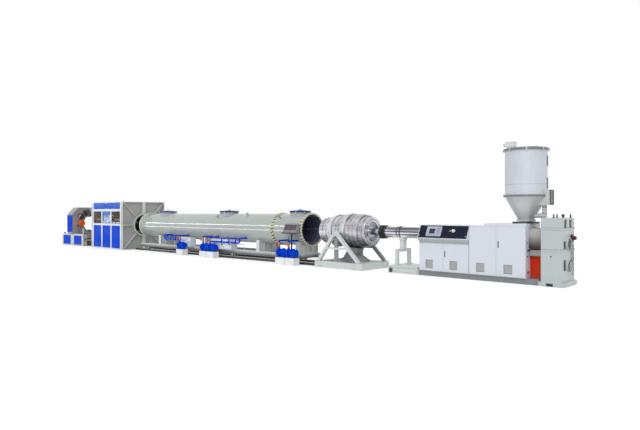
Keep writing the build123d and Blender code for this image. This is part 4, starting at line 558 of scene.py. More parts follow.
class Bench:
    """Gathers simple shapes into one mesh, with a finish and a body to ride on."""
    waiting = []

    def __init__(self, name, finish, slot="bare_steel", body="line"):
        self.mesh, self.name, self.finish, self.slot, self.body = bmesh.new(), name, finish, slot, body
        self.waiting.append(self)

    def add(self, points, faces, where):
        made = [self.mesh.verts.new(where @ Vector(point)) for point in points]
        for face in faces:
            self.mesh.faces.new([made[index] for index in face])

    def lathe(self, where, *profile, steps=24):
        """Radius and height pairs turned about the local Z axis. A zero radius closes an end."""
        points, rings = [], []
        for radius, height in profile:
            turns = steps if radius > 0 else 1
            rings.append(range(len(points), len(points) + turns))
            angles = [math.tau * turn / steps for turn in range(turns)]
            points += [(radius * math.cos(angle), radius * math.sin(angle), height) for angle in angles]
        faces = []
        for low, high in zip(rings, rings[1:]):
            for turn in range(steps):
                pairs = ((low, turn), (low, turn + 1), (high, turn + 1), (high, turn))
                faces.append(list(dict.fromkeys(ring[step % len(ring)] for ring, step in pairs)))
        self.add(points, faces, where)

    def stud(self, where, *profile, base=-sink, steps=24):
        """A closed turned shape. Its base lies a little under the surface that it stands on."""
        self.lathe(where, (0, base), (profile[0][0], base), *profile, (0, profile[-1][1]), steps=steps)

    def hoop(self, where, radius, bar, steps=32, sides=10):
        """A ring of round bar."""
        turns = [math.tau * turn / sides for turn in range(sides + 1)]
        self.lathe(where, *[(radius + bar * math.cos(t), bar * math.sin(t)) for t in turns], steps=steps)

    def block(self, middle, size, edge, where=Matrix()):
        """A box with chamfered edges about its middle."""
        box = where @ Matrix.Translation(middle) @ Matrix.Diagonal((*size, 1.0))
        cube = bmesh.ops.create_cube(self.mesh, size=1.0, matrix=box)["verts"]
        sides = list(dict.fromkeys(side for corner in cube for side in corner.link_edges))
        bmesh.ops.bevel(self.mesh, geom=sides, offset=edge, segments=1, affect="EDGES")

    def crate(self, low, high, edge, where=Matrix()):
        """A box with chamfered edges, from its low to its high corner."""
        low, high = Vector(low), Vector(high)
        self.block((low + high) / 2, high - low, edge, where)

    def tube(self, stops, radius, bend=0.0, sides=14, where=Matrix()):
        """A rigid round pipe through some stops, with rounded corners and closed ends."""
        stops = [where @ Vector(stop) for stop in stops]
        route = [stops[0]]
        for before, corner, after in zip(stops, stops[1:], stops[2:]):
            first = corner + (before - corner).normalized() * bend
            last = corner + (after - corner).normalized() * bend
            for step in range(corner_steps + 1):
                share = step / corner_steps
                route.append(first.lerp(corner, share).lerp(corner.lerp(last, share), share))
        route.append(stops[-1])
        points, side = [], None
        for number, stop in enumerate(route):
            ahead = (route[min(number + 1, len(route) - 1)] - route[max(number - 1, 0)]).normalized()
            side = ahead.orthogonal() if side is None else side - ahead * side.dot(ahead)
            side.normalize()
            other = ahead.cross(side)
            for turn in range(sides):
                angle = math.tau * turn / sides
                points.append(stop + radius * (math.cos(angle) * side + math.sin(angle) * other))
        faces = [list(range(sides)), list(range(len(points) - sides, len(points)))]
        for number, turn in product(range(len(route) - 1), range(sides)):
            base, after = number * sides, (turn + 1) % sides
            faces.append((base + turn, base + after, base + sides + after, base + sides + turn))
        self.add(points, faces, Matrix())

    def bail(self, first, last, out, bar, sides=10, bend=0.02):
        """A bent bar that stands out between two feet, as a handle does."""
        first, last, out = Vector(first), Vector(last), Vector(out)
        self.tube((first, first + out, last + out, last), bar, bend, sides)


print("bench ready")

# %% [markdown]
# ## From bench to scene
# A bench is only a list of faces until it becomes an object. Settling welds points that fall together,
# turns all faces outwards and smooths them up to a sharp angle, as could be done by hand in Edit Mode. Each
# piece then takes its finish and rides on the CAD body that carries it, so that it follows a door or the
# saw.

# %% Settle the benches
def settle():
    """Turns the waiting benches into pieces of the scene that ride on a body."""
    for bench in Bench.waiting:
        bmesh.ops.remove_doubles(bench.mesh, verts=bench.mesh.verts, dist=weld_distance)
        bmesh.ops.recalc_face_normals(bench.mesh, faces=bench.mesh.faces)
        mesh = bpy.data.meshes.new(bench.name)
        bench.mesh.to_mesh(mesh)
        bench.mesh.free()
        mesh.polygons.foreach_set("use_smooth", [True] * len(mesh.polygons))
        mesh.set_sharp_from_angle(angle=sharp_angle)
        mesh.materials.append(bench.finish)
        piece = bpy.data.objects.new(bench.name, mesh)
        scene.collection.objects.link(piece)
        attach(piece, bench.body)
        print(bench.name, "on", bench.body, len(mesh.polygons), "faces")
    Bench.waiting.clear()


print("settling ready")

# %% [markdown]
# ## Places round the pass line
# The pipe runs through every machine on one straight line, and most trim is laid out round that line or
# round an axis of its own. Empties could mark such places by hand. Here a few functions turn an angle into
# a place or a matrix, so a whole circle of bolts is one short loop.

# %% Places
front, back, right, left = (0, -1, 0), (0, 1, 0), (1, 0, 0), (-1, 0, 0)
at = Matrix.Translation


def aim(place, towards=(0, 0, 1)):
    """A matrix at a place, with its Z axis along a direction."""
    return at(place) @ Vector(towards).to_track_quat("Z", "Y").to_matrix().to_4x4()


def spun(turn, axis):
    return Matrix.Rotation(math.radians(turn), 4, axis)


def around(count, first=0.0):
    return [first + 360.0 * number / count for number in range(count)]


def round_spot(reach, turn, height=0.0):
    """A place round the Z axis."""
    return Vector((reach * math.cos(math.radians(turn)), reach * math.sin(math.radians(turn)), height))


def out_from_line(turn):
    """Direction away from the pass line. 0 degrees is up, 90 is to the front."""
    return Vector((0.0, -math.sin(math.radians(turn)), math.cos(math.radians(turn))))


def on_line(x, reach=0.0, turn=0.0):
    """A place at a distance from the pass line."""
    return Vector((x, 0.0, axis_z)) + reach * out_from_line(turn)


def outward(x, reach, turn):
    """A matrix on a round surface about the pass line."""
    return aim(on_line(x, reach, turn), out_from_line(turn))


print("places ready")

# %% [markdown]
# ## Fasteners
# Machine flanges are held by socket head screws, plates and feet by hexagon bolts on washers. They could be
# cut by booleans, but both are turned shapes: a hexagon is a lathe with six steps, and a socket is a
# profile that steps down again. That keeps them light enough to be there in hundreds.

# %% Bolt makers
def hex_bolt(bench, where, flats):
    point = flats / math.sqrt(3)
    bench.stud(where, (flats * 0.68, flats * 0.12), steps=16)
    bench.stud(where, (point, flats * 0.62), (point * 0.84, flats * 0.72), base=0, steps=6)


def cap_screw(bench, where, head):
    bench.stud(where, (head, head * 1.25), (head * 0.88, head * 1.4), (head * 0.55, head * 1.4),
               (head * 0.55, head * 0.6), steps=14)


def bolt_circle(bench, maker, where, reach, count, size, first=90.0):
    """Bolts round a matrix's Z axis. About the pass line the first one is at the top."""
    for turn in around(count, first):
        maker(bench, where @ at(round_spot(reach, turn)), size)


print("bolt makers ready")

# %% [markdown]
# ## Trim on the tank
# The mouth and the telescopic joint are bolted flanges. Three dished manhole covers on the crown are held
# by swing bolts and lifted by a bent bar, small vent cocks stand beside them, and spray nozzles point
# inwards off each pipe. An array could copy them, but loops over angles place them on the round shell
# without any modifier.

# %% Tank trim
mouth_face, joint_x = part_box("tank_rings")[1][0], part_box("tank_front_shell")[0][0]
rim_reach, joint_half, ring_reach = 0.636, 0.045, 0.666
bolts = Bench("tank_flange_bolts", dark_steel)
bolt_circle(bolts, hex_bolt, aim(on_line(mouth_face), right), rim_reach, 36, 0.026)
for turn, offset in product(around(36, 5.0), (-joint_half, joint_half)):
    hex_bolt(bolts, outward(joint_x + offset, ring_reach, turn), 0.022)

cover_seat, cover_rim, swing_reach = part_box("manhole_covers")[0][2] - 0.027, 2.101, 0.432
bar_half, bar_foot, bar_rise = 0.09, 2.12, 0.052
swings = Bench("manhole_swing_bolts", zinc)
bars = Bench("manhole_lift_bars", cover_paint, "blue_paint")
for hatch in (4.8145, 0.2057, -4.9438):
    for turn in around(8, 22.5):
        x, y, z = round_spot(swing_reach, turn) + Vector((hatch, 0, cover_rim))
        hex_bolt(swings, aim((x, y, z)), 0.034)
        swings.block((x, y, cover_seat), (0.04, 0.04, 0.046), 0.004)
    bars.bail((hatch - bar_half, 0, bar_foot), (hatch + bar_half, 0, bar_foot), (0, 0, bar_rise), 0.010, 14)

tank_skin, pipe_reach, nozzle_start, nozzle_pitch = 0.638, 0.606, 5.25, 0.25
cocks, nozzles = Bench("vent_cocks", plain_steel), Bench("spray_nozzles", plain_steel)
for x, turn in ((-3.9, 38.0), (0.0, 46.0), (4.1, 44.0), (1.9, 30.0), (-6.2, 34.0)):
    seat = outward(x, tank_skin, turn)
    cocks.stud(seat, (0.05, 0.014), (0.024, 0.02), (0.024, 0.09), (0.034, 0.09), (0.034, 0.13),
               base=0, steps=16)
    cocks.tube(((0, 0, 0.11), (0.10, 0.03, 0.12)), 0.009, sides=8, where=seat)
    cocks.tube(((0, 0, 0.11), (-0.02, 0.10, 0.11), (-0.02, 0.12, 0.06)), 0.014, 0.02, 10, seat)
for turn, number in product(range(30, 360, 60), range(48)):
    seat = aim(on_line(nozzle_start - nozzle_pitch * number, pipe_reach, turn), -out_from_line(turn))
    nozzles.stud(seat, (0.008, 0.016), (0.004, 0.024), base=0, steps=8)
settle()

# %% [markdown]
# ## Pump sets
# Each pump set is a finned motor with a fan cowl, driving a volute, with a gate valve and its handwheel in
# the riser. The fins are one thin box, turned about the motor's axis in a loop, because a casting repeats
# them in just that way. Cowl, volute and valve are profiles on the lathe.

# %% Pump sets
def corners(half_x, half_y):
    return product((-half_x, half_x), (-half_y, half_y))


def wheel(bench, where, radius, bar, spokes=4):
    """A handwheel with its hub at the matrix and its rim above it."""
    lift = radius * 0.35
    bench.hoop(where @ at((0, 0, lift)), radius, bar, 28, 8)
    neck, hub, seat = bar * 1.1, bar * 1.8, radius * 0.3
    bench.stud(where, (neck, seat), (hub, seat), (hub, radius * 0.45), steps=12)
    for turn in around(spokes):
        bench.tube(((0, 0, lift), round_spot(radius, turn, lift)), bar * 0.7, sides=6, where=where)


pump_y, pump_z, skid_top, riser_offset, riser_foot, valve_z = -0.985, 0.47, 0.28, -0.18, 0.665, 0.80
fin_low, fin_high = (-0.06, -0.004, 0.119), (0.155, 0.004, 0.143)
fins, valves = Bench("pump_fins_and_cowls", blue_paint, "blue_paint"), Bench("gate_valves", brass)
wheels, feet = Bench("valve_wheels", red_paint, "red_paint"), Bench("pump_bolts", zinc)
for place in (-2.185, -0.2957, 0.2451, 4.7985, 5.3294):
    axle = Vector((place, pump_y, pump_z))
    for turn in around(22):
        fins.crate(fin_low, fin_high, 0.002, at(axle) @ spun(turn, "X"))
    cowl = aim(axle + Vector((0.16, 0, 0)), right)
    fins.stud(cowl, (0.143, 0.07), (0.128, 0.086), (0.06, 0.086), (0.05, 0.08), base=0, steps=28)
    for reach in (0.075, 0.10, 0.122):
        fins.hoop(cowl @ at((0, 0, 0.088)), reach, 0.004, 24, 6)
    volute = aim(axle + Vector((-0.225, 0, 0)), left)
    fins.stud(volute, (0.10, 0.012), (0.06, 0.03), (0.06, 0.05), (0.082, 0.05), (0.082, 0.064), base=-0.01)
    bolt_circle(feet, cap_screw, volute, 0.12, 8, 0.009, 22.5)
    riser = Vector((place + riser_offset, pump_y, valve_z))
    valves.stud(aim(riser - Vector((0, 0, 0.07))), (0.052, 0.016), (0.038, 0.024), (0.05, 0.07),
                (0.038, 0.116), (0.052, 0.124), (0.052, 0.14), base=0, steps=20)
    valves.lathe(aim(riser, front), (0, 0), (0.03, 0), (0.026, 0.075), (0.012, 0.08), (0.012, 0.12),
                 (0, 0.12), steps=16)
    wheel(wheels, aim(riser + Vector((0, -0.10, 0)), front), 0.06, 0.007)
    bolt_circle(feet, hex_bolt, aim((riser.x, pump_y, riser_foot)), 0.05, 4, 0.016, 45.0)
    for x, y in corners(0.235, 0.14):
        hex_bolt(feet, aim((place + x, pump_y + y, skid_top)), 0.02)
settle()

# %% [markdown]
# ## Water pipes and boxes
# Painted steel pipe runs from the pumps along the water boxes and turns up into the tank, and hatches close
# the boxes. A curve with a bevel could make the pipe. Here its rings are worked out along rounded corners,
# so that it lies on the same bench as its flanges. Every run is rigid and carried by clips, so it keeps its
# shape.

# %% Water pipes and boxes
main_y, main_z, main_reach, branch_z, tank_side = -0.875, 0.73, 0.036, 0.93, -0.475
mains, clips = Bench("water_mains", blue_paint, "blue_paint"), Bench("pipe_clips", zinc)
for start_x, end_x in ((-2.365, -3.88), (0.0651, 2.02)):
    away = math.copysign(0.11, end_x - start_x)
    mains.tube(((start_x, pump_y, main_z), (start_x + away, main_y, main_z), (end_x, main_y, main_z),
                (end_x, main_y, branch_z), (end_x, tank_side, branch_z)), main_reach, 0.07)
    for share in (0.35, 0.62, 0.86):
        x = start_x + share * (end_x - start_x)
        post, low_z = x + 0.12, branch_z - 0.03
        mains.tube(((x, main_y, main_z), (x, main_y, low_z), (x, tank_side - 0.02, low_z)), 0.024, 0.05)
        mains.stud(aim((x - 0.02, main_y, main_z), right), (0.058, 0.014), (0.05, 0.014), (0.05, 0.026),
                   (0.058, 0.026), (0.058, 0.04), base=0, steps=20)
        clips.tube(((post, -0.5, 0.40), (post, -0.5, 0.66), (post, main_y, 0.66), (post, main_y, 0.70)),
                   0.011, 0.03, 8)
        clips.hoop(aim((post, main_y, main_z), right), main_reach + 0.004, 0.006, 20, 6)

box_front, box_low, box_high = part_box("water_boxes")[0][1], 0.45, 0.80
doors, knobs = Bench("water_box_hatches", white_paint, "white_paint"), Bench("water_box_knobs", dark_steel)
for low_x, high_x, count in ((-2.688, -1.768, 2), (-0.312, 1.338, 3)):
    step = (high_x - low_x - 0.05) / count
    for number in range(count):
        x = low_x + 0.025 + step * number
        doors.crate((x + 0.015, box_front - 0.012, box_low),
                    (x + step - 0.015, box_front + 0.002, box_high), 0.004)
        doors.crate((x + 0.04, box_front - 0.02, box_high - 0.05),
                    (x + step - 0.04, box_front - 0.006, box_high - 0.03), 0.003)
        knobs.stud(aim((x + step - 0.06, box_front - 0.012, 0.62), front), (0.022, 0.01), (0.012, 0.014),
                   (0.012, 0.026), (0.02, 0.03), (0.02, 0.04), steps=16)
        for z in (box_low + 0.035, box_high - 0.105):
            knobs.stud(aim((x + 0.022, box_front - 0.016, z)), (0.008, 0.05), base=0, steps=10)

hubs = Bench("wheel_hub_caps", zinc)
wheel_low, wheel_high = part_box("tank_wheels")
for x, y in product((4.655, 1.091, -2.474, -6.038), (wheel_low[1], wheel_high[1])):
    hub = aim((x, y, middle_of("tank_wheels").z), front if y < 0 else back)
    hubs.stud(hub, (0.034, 0.006), (0.02, 0.012), steps=20)
    hex_bolt(hubs, hub @ at((0, 0, 0.012)), 0.018)
settle()

# %% [markdown]
# ## Console at the mouth
# The cooling water is set here. A dark sloped face carries rows of small lit readings and a row of push
# buttons under them. A picture could show the readings, but a pattern of cells from the shader needs none,
# and nothing in it can be read. One matrix on the slope lets the parts be placed as if the face lay flat.

# %% Console face
def slope(low, high):
    """A matrix on a sloped face: X along the line, Y up the slope and Z out of it."""
    rise = (Vector(high) - Vector(low)).normalized()
    return at(low) @ Matrix((right, rise, Vector(right).cross(rise))).transposed().to_4x4()


sloped, post = slope((0, -0.930, 1.265), (0, -0.790, 1.595)), middle_of("console_post")
face = Bench("console_face", readings, "control_plastic")
face.crate((4.80, 0.095, -0.012), (5.42, 0.33, 0.004), 0.003, sloped)
keys = Bench("console_buttons", grey_plastic, "control_plastic")
for number in range(11):
    keys.stud(sloped @ at((4.82 + 0.057 * number, 0.066, -0.01)), (0.015, 0.008), (0.011, 0.012),
              (0.011, 0.018), base=0, steps=14)
tray = Bench("console_tray", dark_paint, "dark_paint")
tray.crate((4.72, -0.955, 1.213), (5.49, -0.675, 1.224), 0.003)
tray.crate((4.72, -0.965, 1.205), (5.49, -0.953, 1.262), 0.003)
for x, y in corners(0.032, 0.032):
    hex_bolt(tray, aim((post.x + x, post.y + y, 0.016)), 0.014)
settle()

# %% [markdown]
# ## Die head
# The die head is a stack of turned rings, held by long rows of socket screws. Each heater band is drawn
# tight by two clamp screws and carries a small terminal box. Eyebolts on the crown take the crane's hooks,
# and thermocouples stand between the bands. The rows differ only in a few numbers, so one table of them
# feeds one loop.

# %% Die head trim
def eye_bolt(bench, place, size):
    shank = size * 0.3
    bench.stud(aim(place), (size * 0.55, size * 0.2), (shank, size * 0.32), (shank, size * 0.6), steps=16)
    bench.hoop(aim(Vector(place) + Vector((0, 0, size * 1.05)), right), size * 0.55, size * 0.16, 20, 8)


screws = Bench("die_flange_screws", zinc)
for x, reach, count, towards, head in (
        (6.28, 0.445, 24, left, 0.012), (6.71, 0.503, 28, left, 0.010), (6.84, 0.563, 24, left, 0.017),
        (6.99, 0.583, 30, right, 0.014), (7.42, 0.612, 30, left, 0.018), (7.64, 0.631, 36, right, 0.013),
        (8.195, 0.577, 30, right, 0.011), (8.495, 0.445, 24, right, 0.024), (8.395, 0.163, 12, right, 0.016),
        (8.895, 0.175, 8, left, 0.018), (9.72, 0.210, 16, right, 0.009)):
    bolt_circle(screws, cap_screw, aim(on_line(x), towards), reach, count, head)

band_half, band_thick, box_turn, clamp_turn, clamp_spread, lug_spread = 0.075, 0.016, 66.0, 116.0, 4.0, 2.4
boxes, clamps = Bench("heater_terminal_boxes", cone_steel, "stainless"), Bench("heater_clamps", zinc)
for x, reach in ((6.306, 0.47), (6.482, 0.47), (7.016, 0.56), (7.192, 0.56), (7.666, 0.59), (7.842, 0.59),
                 (8.018, 0.59), (8.221, 0.54)):
    middle, skin_reach = x + band_half, reach + band_thick
    box = outward(middle, skin_reach, box_turn)
    boxes.crate((-0.058, -0.028, -0.004), (0.058, 0.028, 0.036), 0.004, box)
    for offset in (-0.034, 0.034):
        cap_screw(boxes, box @ at((offset, 0, 0.036)), 0.008)
        clamps.tube([on_line(middle + offset, skin_reach + 0.014, clamp_turn + spread)
                     for spread in (-clamp_spread, clamp_spread)], 0.006, sides=8)
    for turn in (clamp_turn - lug_spread, clamp_turn + lug_spread):
        clamps.crate((-0.066, -0.007, -0.006), (0.066, 0.007, 0.03), 0.002, outward(middle, skin_reach, turn))

probes, eyes = Bench("thermocouples", zinc), Bench("die_eyebolts", zinc)
bands = Bench("barrel_straps", dark_steel)
for x, reach, turn in (
        (6.66, 0.47, 38.0), (7.38, 0.56, 38.0), (7.38, 0.56, 84.0), (8.43, 0.54, 44.0), (8.43, 0.54, 96.0)):
    probes.stud(outward(x, reach, turn), (0.015, 0.016), (0.008, 0.02), (0.008, 0.06), (0.013, 0.06),
                (0.013, 0.10), steps=12)
for x, reach in ((6.915, 0.606), (7.53, 0.652), (8.43, 0.54)):
    eye_bolt(eyes, on_line(x, reach), 0.036)
for x, length in ((9.60, 0.045), (9.735, 0.03), (10.70, 0.05)):
    bands.lathe(aim(on_line(x), right), (0.19, 0), (0.2, 0), (0.203, 0.006), (0.203, length - 0.006),
                (0.2, length), (0.19, length), steps=48)
settle()

# %% [markdown]
# ## Stand of the die head
# Trestles and a post on each side carry the die head's weight down to a base frame. Their legs get welded
# face plates, and bolts hold the feet. A mirror modifier could make the far side. A loop over a sign does
# the same and leaves plain faces.

# %% Stand trim
trestle_low, trestle_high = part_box("die_trestles")
stand_top, trestle_face, apex_z = trestle_low[2], trestle_high[1], trestle_high[2]
boss_face, trestle_y, foot_thick, apex_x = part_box("die_stand_frame")[1][1], 0.773, 0.016, 7.367
barrel_foot_x, barrel_foot_z = middle_of("barrel_stand").x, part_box("barrel_stand")[0][2]
barrel_foot_y, post_x, post_y, post_top = 0.37, 7.37, 0.7325, 1.13
legs = ((6.543, 0.060, 1.20), (8.459, 0.054, 1.33))
leg_plates = Bench("trestle_leg_plates", trestle_paint_far_shade, "stand_paint")
plates = Bench("stand_plates", stand_paint, "stand_paint")
bosses = Bench("stand_bosses", white_paint, "white_paint")
# the posts take the cradle paint, darker above the base frame as painted shade
posts = Bench("trestle_posts", cradle_paint_shaded, "stand_paint")
bolts = Bench("stand_bolts", zinc)
for side in (-1, 1):
    towards, foot_middle = (0, side, 0), stand_top + foot_thick / 2
    for x in (6.654, 8.303):
        hub = aim((x, side * boss_face, 0.1175), towards)
        bosses.stud(hub, (0.064, 0.008), (0.05, 0.016), steps=28)
        hex_bolt(bolts, hub @ at((0, 0, 0.016)), 0.034)
    trunnion = aim((apex_x, side * trestle_face, 1.255), towards)
    plates.stud(trunnion, (0.092, 0.012), (0.08, 0.02), steps=32)
    for turn in around(6):
        hex_bolt(bolts, trunnion @ spun(turn, "Z") @ at((0.06, 0, 0.02)), 0.02)
    for foot_x, half, reach in legs:
        lean = math.degrees(math.atan2(apex_x - foot_x, apex_z - stand_top))
        leg = at((foot_x, 0, stand_top)) @ spun(lean, "Y")
        for y in (0.714, 0.832):
            leg_plates.crate((-half, side * y - 0.004, 0.06), (half, side * y + 0.004, reach), 0.002, leg)
        plates.block((foot_x, side * trestle_y, foot_middle), (0.25, 0.11, foot_thick), 0.003)
        for offset in (-0.1, 0.1):
            hex_bolt(bolts, aim((foot_x + offset, side * trestle_y, stand_top + foot_thick)), 0.026)
    plates.block((barrel_foot_x, side * barrel_foot_y, barrel_foot_z + foot_thick / 2),
                 (0.20, 0.19, foot_thick), 0.003)
    for x, y in corners(0.078, 0.075):
        place = (barrel_foot_x + x, side * barrel_foot_y + y, barrel_foot_z + foot_thick)
        hex_bolt(bolts, aim(place), 0.022)
    posts.crate((post_x - 0.085, side * post_y - 0.0325, stand_top),
                (post_x + 0.085, side * post_y + 0.0325, post_top), 0.006)
    posts.block((post_x, side * post_y, foot_middle), (0.29, 0.105, foot_thick), 0.003)

# painted shade: a dark sheet with lips stands for the shaded inside of a pocket in the plinth
pocket_shade = Bench("plinth_pocket_shade", dark_paint, "dark_paint")
for low_y, high_y, lip_y in ((-0.563, -0.556, -0.556), (0.556, 0.563, 0.568)):
    pocket_shade.crate((9.585, low_y, 0.03), (9.70, high_y, 0.15), 0.002)
    for z in (0.022, 0.142):
        pocket_shade.crate((9.575, low_y, z), (9.71, lip_y, z + 0.012), 0.002)
settle()

# %% [markdown]
# ## Cabinet doors
# Each leaf has a louvred vent near its foot, a row of hinge knuckles, and on the right leaf of a pair a
# sunken pull. Blades could be cut into the leaf, but that would change the solid, so they are laid on it.
# These pieces ride on their own door and swing with it. The knuckles share the hinge's axis, and so they
# turn on the spot.

# %% Door trim
def border(bench, low, high, bar, edge):
    """Four bars round an upright opening along the line."""
    for x in (low[0], high[0] - bar):
        bench.crate((x, low[1], low[2]), (x + bar, high[1], high[2]), edge)
    for z in (low[2], high[2] - bar):
        bench.crate((low[0], low[1], z), (high[0], high[1], z + bar), edge)


blades, blade_pitch, blade_lean, blade_size = 10, 0.0256, -35.0, (0.244, 0.018, 0.003)
vent_half, vent_y, vent_z, vent_bar = 0.1295, (-0.5755, -0.561), (0.264, 0.532), 0.010
blade_y, blade_z = -0.5668, 0.2825
for cabinet, hand, vent_x, pull in (
        ("control", "left", 11.145, None), ("control", "right", 11.995, (11.6975, 0.742)),
        ("drive", "left", 12.881, None), ("drive", "right", 13.726, (13.4305, 1.108))):
    body, head = f"{cabinet}_door_{hand}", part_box(f"{cabinet}_door_{hand}")[1][2]
    hinge_x, hinge_y, _ = joint_at[f"{cabinet}_{hand}_hinge"]
    louvre = Bench(f"{body}_louvre", vent_paint, "grey_paint", body)
    for row in range(blades):
        louvre.block((0, 0, 0), blade_size, 0.0006,
                     at((vent_x, blade_y, blade_z + blade_pitch * row)) @ spun(blade_lean, "X"))
    border(louvre, *zip((vent_x - vent_half, vent_x + vent_half), vent_y, vent_z), vent_bar, 0.001)
    knuckles = Bench(f"{body}_hinges", white_paint, "white_paint", body)
    for z in (0.27, head / 2 + 0.06, head - 0.16):
        knuckles.stud(aim((hinge_x, hinge_y, z)), (0.0165, 0.042), (0.014, 0.043), (0.014, 0.047),
                      (0.0165, 0.048), (0.0165, 0.09), base=0, steps=16)
    if pull:
        x, z = pull
        handle = Bench(f"{body}_pull", black_plastic, "control_plastic", body)
        handle.block((x, -0.565, z), (0.0332, 0.005, 0.1892), 0.001)
        handle.block((x, -0.5695, z - 0.015), (0.020, 0.008, 0.09), 0.002)
        handle.lathe(aim((x, -0.567, z + 0.062), front), (0, 0), (0.009, 0), (0.009, 0.004), (0.004, 0.005),
                     (0, 0.003), steps=14)
settle()

# %% [markdown]
# ## Back of the cabinets
# The back takes screwed sheets instead of doors, each with a round fan guard above a row of slots. The fans
# draw air through the vents in the doors. A wire guard could be a wireframe modifier on a disc. Hoops and
# bars of round section look more like the real one and stay light.

# %% Back panels
side_x, cabinet_back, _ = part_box("drive_cabinet")[1]
back_y, face_y, sheet_low, sheet_top = cabinet_back - 0.002, cabinet_back + 0.004, 0.21, 1.60
fan_z, slots_each, slot_lean = 1.28, 8, 28.0
sheets = Bench("back_sheets", white_paint, "white_paint")
guards = Bench("back_fan_guards", vent_paint, "grey_paint")
screws = Bench("back_screws", zinc)
for low_x, high_x in ((10.80, 11.63), (11.66, 12.48), (12.55, 13.36), (13.39, 14.20)):
    middle = (low_x + high_x) / 2
    sheets.crate((low_x, back_y, sheet_low), (high_x, face_y, sheet_top), 0.001)
    for x, z in product((low_x + 0.03, middle, high_x - 0.03), (sheet_low + 0.03, 0.90, sheet_top - 0.03)):
        cap_screw(screws, aim((x, face_y, z), back), 0.009)
    fan = aim((middle, face_y, fan_z), back)
    guards.lathe(fan, (0, 0), (0.14, 0), (0.14, 0.006), (0.125, 0.010), (0, 0.004), steps=36)
    for reach in (0.03, 0.055, 0.08, 0.105, 0.128):
        guards.hoop(fan @ at((0, 0, 0.016)), reach, 0.003, 32, 6)
    for turn in around(4, 45.0):
        guards.tube(((0, 0, 0.016), round_spot(0.134, turn, 0.012)), 0.003, sides=6, where=fan)
    for row in range(slots_each):
        guards.block((0, 0, 0), (0.30, 0.012, 0.016), 0.002,
                     at((middle, face_y, 0.36 + 0.04 * row)) @ spun(slot_lean, "X"))
settle()

# %% [markdown]
# ## Sloped desk
# The sloped navy plate carries a pale unit with a dark screen and its keys, a small dark button and a large
# cream one. Quarter-turn latches hold the plate at both ends. Keys could be painted on by the shader, but
# small blocks catch the light at their edges, and that is what shows from afar.

# %% Desk trim
desk, plate_face, unit_face, screen_face = slope((0, -0.69, 1.215), (0, -0.48, 1.646)), 0.010, 0.044, 0.0345
middle_rise, screen_x, screen_half, screen_rise, bezel_half = 0.2397, 11.280, 0.103, 0.085, 0.008
key_pitch, key_width, key_height, low_key_height, row_pitch = 0.034, 0.024, 0.030, 0.024, 0.044
screen = Bench("operator_screen", desk_display, "control_plastic")
screen.block((screen_x, middle_rise, screen_face), (2 * screen_half, 2 * screen_rise, 0.009), 0.001, desk)
bezel = Bench("screen_bezel", grey_plastic, "control_plastic")
for side in (-1, 1):
    bezel.block((screen_x + side * (screen_half + bezel_half), middle_rise, unit_face + 0.0005),
                (2 * bezel_half, 0.20, 0.009), 0.002, desk)
    bezel.block((screen_x, middle_rise + side * (screen_rise + bezel_half), unit_face + 0.0005),
                (0.236, 2 * bezel_half, 0.009), 0.002, desk)
buttons = Bench("operator_keys", key_plastic, "control_plastic")
keys = [(11.445 + key_pitch * column, -0.11 + row_pitch * row, key_height)
        for column, row in product(range(4), range(6))]
keys += [(11.118 + key_pitch * column, -0.13, low_key_height) for column in range(9)]
for x, rise, height in keys:
    buttons.block((x, middle_rise + rise, unit_face + 0.0015), (key_width, height, 0.007), 0.002, desk)

button_rise, dark_button, cream_button, latch_rise = middle_rise + 0.04, 11.881, 12.003, 0.10
collars = Bench("desk_collars_and_latches", zinc)
for x, reach in ((dark_button, 0.034), (cream_button, 0.056)):
    collars.stud(desk @ at((x, button_rise, plate_face)), (reach, 0.004), (reach - 0.006, 0.008))
for x in (10.83, 12.445):
    latch = desk @ at((x, latch_rise, plate_face))
    collars.stud(latch, (0.017, 0.006), (0.012, 0.011), steps=18)
    collars.block((0, 0, 0.012), (0.044, 0.010, 0.008), 0.002, latch)
cap = Bench("desk_button_cap", oil_pump_paint, "oil_pump_paint")
cap.lathe(desk @ at((dark_button, button_rise, plate_face)), (0, 0), (0.0275, 0), (0.0275, 0.02),
          (0.022, 0.026), (0, 0.027), steps=20)
settle()

# %% [markdown]
# ## Side of the drive cabinet
# A lever and a stop button sit on the side of the drive cabinet, and beside it a cover and a shelf close
# the gap to the gearbox. On the real machine these are folded sheet and turned knobs, so boxes and lathe
# profiles give their true outline.

# %% Side of the drive cabinet
gearbox_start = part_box("thrust_housing")[1][0]
gap_start, gap_end, cover_y = side_x + 0.002, gearbox_start - 0.002, -0.33
lever = Bench("drive_side_lever", black_plastic, "control_plastic")
lever.stud(aim((side_x, -0.40, 0.96), right), (0.032, 0.012), (0.014, 0.016), (0.014, 0.05), steps=20)
lever.crate((side_x + 0.036, -0.535, 0.944), (side_x + 0.056, -0.375, 0.976), 0.006)
for z in (1.185, 0.79):
    lever.stud(aim((side_x, -0.44, z), right), (0.022, 0.008), (0.014, 0.016), steps=18)
stop = Bench("drive_side_stop", red_plastic, "control_plastic")
stop.lathe(aim((side_x, -0.44, 0.345), right), (0, -sink), (0.02, -sink), (0.02, 0.02), (0.036, 0.022),
           (0.036, 0.036), (0.026, 0.046), (0, 0.048), steps=24)

